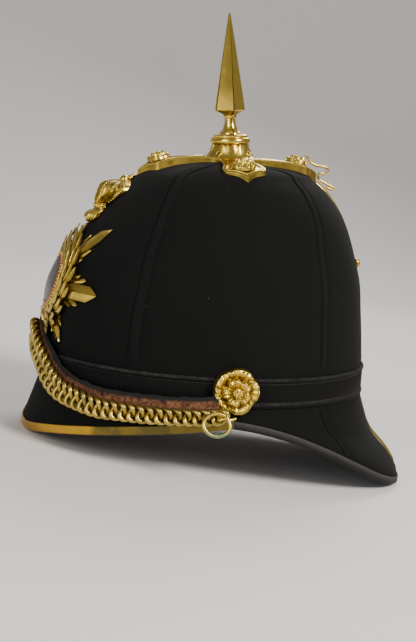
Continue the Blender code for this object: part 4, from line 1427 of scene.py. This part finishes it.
def make_back_bar(gilt):
    """Convex bar down the back, and its stud."""
    line = back_line()
    half = BAR_WIDTH / 2
    sides = 12
    curve, _ = smooth_path([Vector((0.0, y, z)) for y, z in line], 140)

    def place(column, row):
        before = curve[max(0, row - 1)]
        after = curve[min(len(curve) - 1, row + 1)]
        along = (after - before).normalized()
        out = Vector((0.0, -along.z, along.y))
        out = out if out.y > 0 else -out
        foot = curve[row] + out * GAP * 1.8
        turn = math.pi * (column % sides) / (sides - 1)
        return foot + Vector((half * math.cos(turn), 0.0, 0.0)) + out * (math.sin(turn) * BAR_THICK)

    bar = skin(sides, len(curve) - 1, place, ends=True)
    add_piece("back_bar", bar, gilt, ["back_bar"])
    spot = crown_point(STUD_ROW, 180)
    below = crown_point(STUD_ROW + 0.5, 180)
    above = crown_point(STUD_ROW - 0.5, 180)
    slope = math.atan2(below.y - above.y, above.z - below.z)
    foot = Matrix.Translation(spot) @ Matrix.Rotation(slope - math.pi / 2, 4, "X")
    foot = foot @ Matrix.Translation((0.0, 0.0, GAP * 3 + BAR_THICK))
    stud = turned([(STUD_RADIUS * r, STUD_HEIGHT * h) for r, h in STUD_ROWS], 32, foot)
    add_piece("back_bar_stud", stud, gilt, ["back_bar_stud"])


def make_rear_hook(place, brass):
    """Wire hook behind the rear rosette: a loop outward, then down past the arm's tip."""
    radius = REAR_ROSETTE_PLACE + ROSETTE_RADIUS + HOOK_WIRE + 2 * GAP
    foot = Vector((0.0, radius, base_top(radius, math.pi)))
    route = [place @ (foot + Vector((0.0, out, up)) * HOOK_SIZE) for out, up in HOOK_ROUTE]
    points, _ = smooth_path(route, 60)
    add_piece("rear_hook", tube(points, HOOK_WIRE * 1.1, 12), brass, ["rear_hook"])


def strap_out():
    return SIDE_RIM_REACH + GAP + FRONT_BINDING_THICK + GAP


def chain_out():
    return strap_out() + STRAP_THICK + GAP + CHAIN_WIRE * (1 + CAD_LINK_BEND)


def route_point(angle, side, rise=0.0):
    """Point of the chain's route at an angle, on an oval of the given side reach."""
    angles = [-row[0] for row in CHAIN_ROUTE]
    heights = [row[1] * BAND_HEIGHT for row in CHAIN_ROUTE]
    extra = side - strap_out() + STAR_LIFT + STAR_THICK + GAP * 3
    point = oval(angle, CROWN_FRONT + extra, CROWN_REAR, side, SIDE_LINE)
    point.z = float(np.interp(-angle, angles, heights)) + rise
    return point


def route_line(first, last, side, count, rise=0.0):
    knots = [first] + [angle for angle, _ in CHAIN_ROUTE if last < angle < first] + [last]
    return smooth_path([route_point(angle, side, rise) for angle in knots], count)


def route_frame(line, k):
    """The way along, out and across at a point of a route."""
    along = (line[min(len(line) - 1, k + 1)] - line[max(0, k - 1)]).normalized()
    out = Vector((along.y, -along.x, 0.0)).normalized()
    out = out if out.dot(line[k]) > 0 else -out
    return along, out, along.cross(out).normalized()


def make_strap(leather):
    """Leather strap lined with velvet: worn top edge, ragged velvet standing above it."""
    count = 260
    line, _ = route_line(STRAP_END_ANGLE, -STRAP_END_ANGLE, strap_out(), count, STRAP_ABOVE_CHAIN)
    half = STRAP_WIDTH / 2
    section = []
    for side in (0, 1):
        for k in range(9):
            share = k / 8
            x = -half + STRAP_WIDTH * share
            swell = STRAP_THICK * (1 - abs(2 * share - 1) ** 6 * 0.8)
            section.append((x, swell, 0.0) if side == 0 else (-x, 0.0, 1.0))

    def place(column, row):
        x, y, velvet = section[column % len(section)]
        _, out, across = route_frame(line, row)
        up = across if across.z > 0 else -across
        edge = step(abs(x), half * 0.7, half)
        fray = noise.noise(line[row] * 700.0 + Vector((x * 200, 0.0, velvet * 5))) * STRAP_FRAY * edge
        wave = noise.noise(line[row] * 120.0) * STRAP_WAVE * edge
        rough = noise.noise(line[row] * 800.0 + Vector((x * 800, 0.0, 0.0))) * STRAP_ROUGH * (1 - velvet)
        spot = line[row] + up * (x + fray + wave) + out * max(0.0, y + fray * 0.4 + rough)
        limit = half * (0.50 + 0.22 * noise.noise(line[row] * 260.0))
        return spot, {"wear": max(velvet, step(x, limit, limit + half * 0.12))}

    bm = skin(len(section), count - 1, place, ends=True)
    add_piece("chin_strap", bm, leather, ["chin_strap"], sharp=70.0)


def link(middle, along, out, across, width, phase):
    """One curb link: a ring of wire whose two ends are bent to opposite sides."""
    around, sides = 22, 8
    half_long = LINK_PITCH / 2 + LINK_WIRE * LINK_OVERLAP
    half_wide = width / 2 - LINK_WIRE
    bend = LINK_WIRE * LINK_BEND
    slant = -LINK_PITCH * LINK_SLANT

    def centre(turn):
        return (middle + along * half_long * math.cos(turn) + across * half_wide * math.sin(turn)
                - out * bend * math.sin(2 * turn) + along * slant * math.sin(turn))

    def place(column, row):
        turn = TAU * (row % around) / around
        spot = centre(turn)
        forward = (centre(turn + 0.05) - centre(turn - 0.05)).normalized()
        first = (spot - middle - forward * (spot - middle).dot(forward)).normalized()
        second = forward.cross(first)
        spin = TAU * column / sides
        ring = (first * math.cos(spin) + second * math.sin(spin)) * LINK_WIRE
        # depth is 1 on each wire's side facing the helmet: hollow paints shade there, and a tone that steps
        # from link to link
        depth = 0.5 - 0.5 * ring.dot(out) / LINK_WIRE
        return spot + ring, {"hollow": 0.25 + 0.75 * depth * depth + 0.1 * math.sin(phase)}

    return skin(sides, around, place)


def make_chain(brass):
    """Graduated curb chain from ear to ear."""
    first = CHAIN_ROUTE[0][0]
    _, length = route_line(first, -first, chain_out(), 3)
    count = round(length / LINK_PITCH) + 1
    line, _ = route_line(first, -first, chain_out(), count)
    links = []
    for k in range(count):
        share = math.sin(math.pi * k / (count - 1)) ** LINK_GRADE
        width = LINK_WIDTH_EAR + (LINK_WIDTH_FRONT - LINK_WIDTH_EAR) * share
        links.append(link(line[k], *route_frame(line, k), width, k * LINK_TONE_STEP))
    add_piece("chin_chain", join(links), brass, ["chin_chain"], sharp=80.0)


def make_ear_hooks(gilt, brass):
    """Hooks from under the bosses through the chain's end links, and the loose end ring."""
    end = route_point(CHAIN_ROUTE[0][0], chain_out())
    start = Vector((SIDE_RIM_REACH + 3 * GAP + HOOK_WIRE, *BOSS_PLACE))
    start.z -= BOSS_RADIUS + HOOK_WIRE + GAP
    route = [start, start + Vector((0.05, -0.30, -0.06)) * HOOK_SIZE]
    route += [end + Vector(row) * HOOK_SIZE for row in EAR_HOOK_ROUTE]
    points, _ = smooth_path(route, 50)
    mirrored = [Vector((-point.x, point.y, point.z)) for point in points]
    for name, line in (("boss_hook_left", points), ("boss_hook_right", mirrored)):
        add_piece(name, tube(line, EAR_HOOK_WIRE, 12), gilt, [name])
    middle = end + Vector((CHAIN_WIRE * (1 + CAD_LINK_BEND) + RING_WIRE + 2 * GAP, -RING_FORWARD, 0.0))
    middle.z += RING_WIRE + HOOK_WIRE + GAP - RING_RADIUS
    middle.z += RING_RAISE
    lean = math.radians(RING_LEAN)
    across = Vector((-math.sin(lean), 0.0, math.cos(lean))) * RING_SQUASH
    ring = [middle + (across * math.sin(turn) + Vector((0.0, math.cos(turn), 0.0))) * RING_RADIUS
            for turn in np.linspace(0, TAU, 56, endpoint=False)]

    def low(share):
        depth = math.sin(TAU * share)
        return {"green": step(-depth, 0.35, 0.9), "hollow": 0.1}

    add_piece("end_ring", tube(ring, RING_WIRE, 14, closed=True, held=low), brass, ["end_ring"])


def front_face(x, z, out):
    """Point on the crown's front at a height, moved outward: x is measured along the level curve."""
    row = find_row(lambda row: crown_size(row)[0] < z)
    _, front, _, side, _ = crown_size(row)
    return crown_point(row, math.degrees(x / ((side + front) / 2)), out)


def star_reach(turn):
    rise = math.cos(turn)
    return 1 - (STAR_HEAD_CUT * rise ** 8 if rise > 0 else STAR_FOOT_CUT * (-rise) ** 1.6)


def ray(turn, half, reach, rise, tip):
    """One faceted ray of the star, laid on the crown's front, that narrows over its last share."""
    rows = 10
    lift = STAR_LIFT - 0.0003 * (1 - rise)

    def place(column, row):
        side, up = RAY_SECTION[column % len(RAY_SECTION)]
        share = RAY_FOOT + (1 - RAY_FOOT) * (row / rows if row < 6 else 1 - tip * (rows - row) / (rows - 5))
        radius = reach * share
        width = radius * math.tan(half) * min(1.0, (1 - share) / tip + 0.02)
        height = STAR_THICK * RAY_RIDGE * rise * (1 - 0.45 * step(share, 0.5, 1.0))
        x = radius * math.sin(turn) + side * width * math.cos(turn)
        z = radius * math.cos(turn) - side * width * math.sin(turn)
        # The ray's foot darkens with tarnish and painted shade
        hollow = 0.6 if abs(side) == 1.0 else 0.0
        return front_face(x, STAR_MIDDLE + z, lift + height * up), {"hollow": hollow}

    return skin(len(RAY_SECTION), rows, place, ends=True)


def make_star(gilt):
    """Star of eight bundles: a broad middle ray with shorter ones stepped down beside it."""
    rays = []
    for k in range(8):
        size = STAR_RADIUS * (1.0 if k % 2 == 0 else DIAGONAL_RAYS)
        for away, half, reach, rise, tip in RAY_STEPS:
            for side in (-1, 1) if away else (1,):
                turn = math.radians(45.0 * k + side * away)
                rays.append(ray(turn, math.radians(half), size * reach * star_reach(turn), rise, tip))
    add_piece("star_plate", join(rays), gilt, ["star_plate"], sharp=18.0)


def leaf(spot, forward, side, out, length, width):
    """Laurel leaf with a raised midrib."""
    rows = 8

    def place(column, row):
        across, rise = LEAF_SECTION[column % len(LEAF_SECTION)]
        share = row / rows
        half = width / 2 * math.sin(math.pi * share ** 0.85) ** 0.8 if 0 < share < 1 else 0.0
        lift = length * 0.05 * share
        thick = LEAF_THICK * (1 - share * 0.4) if 0 < share < 1 else 0.0
        point = spot + forward * length * share + side * across * half + out * (lift + thick * rise)
        # hollow: tarnish and painted shade along the leaf's edges
        return point, {"hollow": 0.8 if abs(across) == 1.0 else 0.15}

    return skin(len(LEAF_SECTION), rows, place)


def plate_point(turn, radius, out):
    """Point on the plate at a clock angle and a distance from the wreath's middle."""
    return front_face(radius * math.sin(turn), WREATH_MIDDLE + radius * math.cos(turn), out)


def plate_frame(turn, radius, out):
    """Place on the plate at a clock angle: spot, the way round, the way outward from the middle, up."""
    spot = plate_point(turn, radius, out)
    around = (plate_point(turn + 0.03, radius, out) - plate_point(turn - 0.03, radius, out)).normalized()
    away = (plate_point(turn, radius + 0.0008, out) - plate_point(turn, radius - 0.0008, out)).normalized()
    up = around.cross(away)
    up = up if up.y < 0 else -up
    return spot, around, away, up.normalized()


def make_wreath(gilt):
    """Two laurel branches that rise from a tie at the foot, long leaf over long leaf."""
    face = STAR_LIFT + STAR_THICK + GAP
    parts = []
    for side in (-1, 1):
        for k in range(LEAF_STATIONS):
            turn = math.pi - side * math.radians(12 + 140 * k / (LEAF_STATIONS - 1))
            for lean, inward, raise_by, size in LEAF_ROWS:
                spot, around, away, up = plate_frame(turn, WREATH_RADIUS + inward * WREATH_WIRE, face)
                angle = math.radians(lean)
                forward = (around * -side * math.cos(angle) + away * math.sin(angle)).normalized()
                across = forward.cross(up).normalized()
                foot = spot + up * raise_by
                parts.append(leaf(foot, forward, across, up, LEAF_LENGTH * size, LEAF_WIDTH * size))
            spot, _, away, up = plate_frame(turn, WREATH_RADIUS, face)
            berry = spot + away * BERRY_AWAY * (1 if k % 2 else -1) + up * BERRY_RAISE
            parts.append(bead(Matrix.Translation(berry), BERRY_RADIUS))
    for lean in TIE_LEANS:
        spot, around, away, up = plate_frame(math.pi, WREATH_RADIUS, face + TIE_RAISE)
        angle = math.radians(lean)
        across = (away * math.cos(angle) + around * math.sin(angle)).normalized()
        bow = [spot + across * TIE_HALF * t + around * lean * TIE_SPREAD + up * TIE_BULGE * math.cos(t * 1.4)
               for t in np.linspace(-1, 1, 15)]
        parts.append(tube(bow, TIE_WIRE, 10))
    add_piece("plate_wreath", join(parts), gilt, ["plate_wreath"], sharp=50.0)


def make_centre(silver, gilt):
    """Plain domed centre in a red enamel ring edged with small pearls."""
    face = STAR_LIFT + STAR_THICK + 2 * GAP

    def place(column, row):
        turn = TAU * (column % CENTRE_SIDES) / CENTRE_SIDES
        share, rise, red = CENTRE_ROWS[row]
        spot = plate_point(turn, CENTRE_RADIUS * share, face + CENTRE_RISE * rise)
        # hollow: tarnish and painted shade at the dome's foot, inside the enamel ring
        return spot, {"hollow": 0.5 if 0.79 < share < 0.83 else 0.1, "red": red}

    bm = skin(CENTRE_SIDES, len(CENTRE_ROWS) - 1, place)
    add_piece("plate_centre", bm, silver, ["plate_centre"], sharp=50.0)
    pearls = []
    for k in range(PEARL_COUNT):
        spot = plate_point(TAU * k / PEARL_COUNT, CENTRE_RADIUS * 0.975, face + CENTRE_RISE * 0.45)
        pearls.append(bead(Matrix.Translation(spot), PEARL_RADIUS))
    add_piece("centre_pearls", join(pearls), gilt, [])


def badge_spot(rise, turn, proud):
    """Point of the arched badge: rise from its foot, and turn from its right edge over the front."""
    place = float(np.interp(rise, [row[0] for row in BADGE_ROWS], range(len(BADGE_ROWS))))
    _, width, depth = between(BADGE_ROWS, place)
    x = (BADGE_WIDTH * width + proud * 0.7) * math.cos(turn)
    front = max(0.0, math.sin(turn)) ** 0.7
    out = 3 * GAP + (BADGE_DEPTH * depth + proud) * front
    return front_face(x, BADGE_FOOT + BADGE_HEIGHT * rise, out)


def badge_middle(rise, depth):
    """Point over the badge's middle line."""
    return front_face(0.0, BADGE_FOOT + BADGE_HEIGHT * rise, 3 * GAP + BADGE_DEPTH * depth)


def make_badge(gilt):
    """Arched badge: ribbed roll at the foot, circlet, beaded arches over a ribbed cap, orb and cross."""
    around, rows = 96, 80

    def place(column, row):
        turn = TAU * (column % around) / around
        rise = row / rows
        proud = 0.0
        if turn < math.pi:
            if rise < 0.27:
                proud = 0.0011 * (abs(math.sin(turn * BADGE_RIBS)) ** 0.6 - 0.6)
            elif rise < 0.33:
                proud = -0.0004
            elif rise < 0.45:
                proud = 0.0004 if rise < 0.36 or rise > 0.42 else 0.0
            else:
                near = min(abs(turn / math.pi - arch) for arch in BADGE_ARCHES)
                proud = 0.0013 * step(0.055 - near, 0.0, 0.015)
                proud -= 0.0012 * step(near, 0.050, 0.065)
                proud += 0.0008 * math.sin(near * 105 + rise * 8) * step(near, 0.06, 0.09)
        # hollow: tarnish and painted shade in the recessed parts
        return badge_spot(rise, turn, proud), {"hollow": 0.75 if proud < -0.0002 else 0.05}

    parts = [skin(around, rows, place, ends=True)]
    for arch in BADGE_ARCHES:
        for k in range(12):
            spot = badge_spot(0.49 + 0.44 * k / 11, arch * math.pi, 0.0015)
            parts.append(bead(Matrix.Translation(spot), ARCH_BEAD))
    for k in range(11):
        spot = badge_spot(0.39, math.pi * (0.05 + 0.90 * k / 10), 0.0004)
        parts.append(bead(Matrix.Translation(spot), CIRCLET_BEADS[k % 2]))
    parts.append(bead(Matrix.Translation(badge_middle(0.985, 0.36)), ORB_RADIUS, 3))
    foot = badge_middle(1.00, 0.20)
    head = badge_middle(1.09, 0.14)
    middle = foot.lerp(head, 0.5)
    side = Vector((CROSS_REACH, 0.0, 0.0))
    for line in ([foot, middle, head], [middle - side, middle, middle + side]):
        points, _ = smooth_path(line, 9)
        parts.append(tube(points, CROSS_WIRE, 10))
    for tip in (middle - side, middle + side, head):
        parts.append(bead(Matrix.Translation(tip), CROSS_END, 2))
    add_piece("plate_crown", join(parts), gilt, ["plate_crown"], sharp=50.0)


def set_camera():
    """Put the camera where the photograph was taken from."""
    around = math.radians(90 - CAMERA_YAW)
    up_by = math.radians(CAMERA_PITCH)
    back = Vector((math.sin(around) * math.cos(up_by), -math.cos(around) * math.cos(up_by), math.sin(up_by)))
    right = Vector((math.cos(around), math.sin(around), 0.0))
    up = back.cross(right)
    roll = math.radians(CAMERA_ROLL)
    turned_right = right * math.cos(roll) + up * math.sin(roll)
    turned_up = up * math.cos(roll) - right * math.sin(roll)
    eye = back * CAMERA_DISTANCE + turned_right * CAMERA_OFFSET[0] + turned_up * CAMERA_OFFSET[1]
    place = Matrix((turned_right, turned_up, back)).transposed().to_4x4()
    data = bpy.data.cameras.new("camera")
    data.sensor_fit = "AUTO"
    data.sensor_width = SENSOR
    data.lens = PICTURE_SCALE * CAMERA_DISTANCE * SENSOR / PICTURE[1]
    camera = put("camera", data)
    camera.matrix_world = WORLD @ Matrix.Translation(eye) @ place
    bpy.context.scene.camera = camera


def soft_light(name, place, size, power, colour):
    data = bpy.data.lights.new(name, "AREA")
    data.shape = "RECTANGLE"
    data.size, data.size_y = size
    data.energy = power
    data.color = colour
    turn = (Vector(place) - Vector(LIGHT_AIM)).to_track_quat("Z", "Y").to_matrix().to_4x4()
    put(name, data).matrix_world = Matrix.Translation(place) @ turn


def set_stage():
    """Pale floor that curves up behind the helmet, and soft studio light."""
    profile = [(FLOOR_FRONT, 0.0), (-FLOOR_BEND, 0.0)]
    profile += [(-FLOOR_BEND - FLOOR_BEND * math.sin(turn), FLOOR_BEND - FLOOR_BEND * math.cos(turn))
                for turn in np.linspace(0.05, math.pi / 2, 24)]
    profile.append((-2 * FLOOR_BEND, FLOOR_TOP))

    def place(column, row):
        x, z = profile[row]
        return Vector((x, FLOOR_HALF * (2 * column - 1), z))

    mesh = as_mesh("floor", grid(1, len(profile) - 1, place))
    mesh.shade_smooth()
    mesh.materials.append(pale_floor())
    floor = put("floor", mesh)
    world = bpy.data.worlds.new("studio")
    world.use_nodes = True
    shade = world.node_tree.nodes["Background"]
    shade.inputs["Color"].default_value = AIR_COLOUR
    shade.inputs["Strength"].default_value = AIR_STRENGTH
    bpy.context.scene.world = world
    for light in LIGHTS:
        soft_light(*light)


def main():
    cloth = wool_cloth()
    gilt = gilt_brass()
    old = old_brass()
    leather = black_leather()
    stitches = thread()
    make_crown(cloth)
    make_peaks(cloth, rim_brass(), leather, stitches)
    make_band(cloth, stitches)
    base = make_base(gilt)
    make_spike(base, gilt)
    make_rosettes(base, gilt)
    make_bosses(gilt)
    make_back_bar(gilt)
    make_rear_hook(base, old)
    make_strap(brown_leather())
    make_chain(old)
    make_ear_hooks(gilt, old)
    make_star(gilt)
    make_wreath(gilt)
    make_centre(dull_silver(), gilt)
    make_badge(gilt)
    set_camera()
    set_stage()


main()
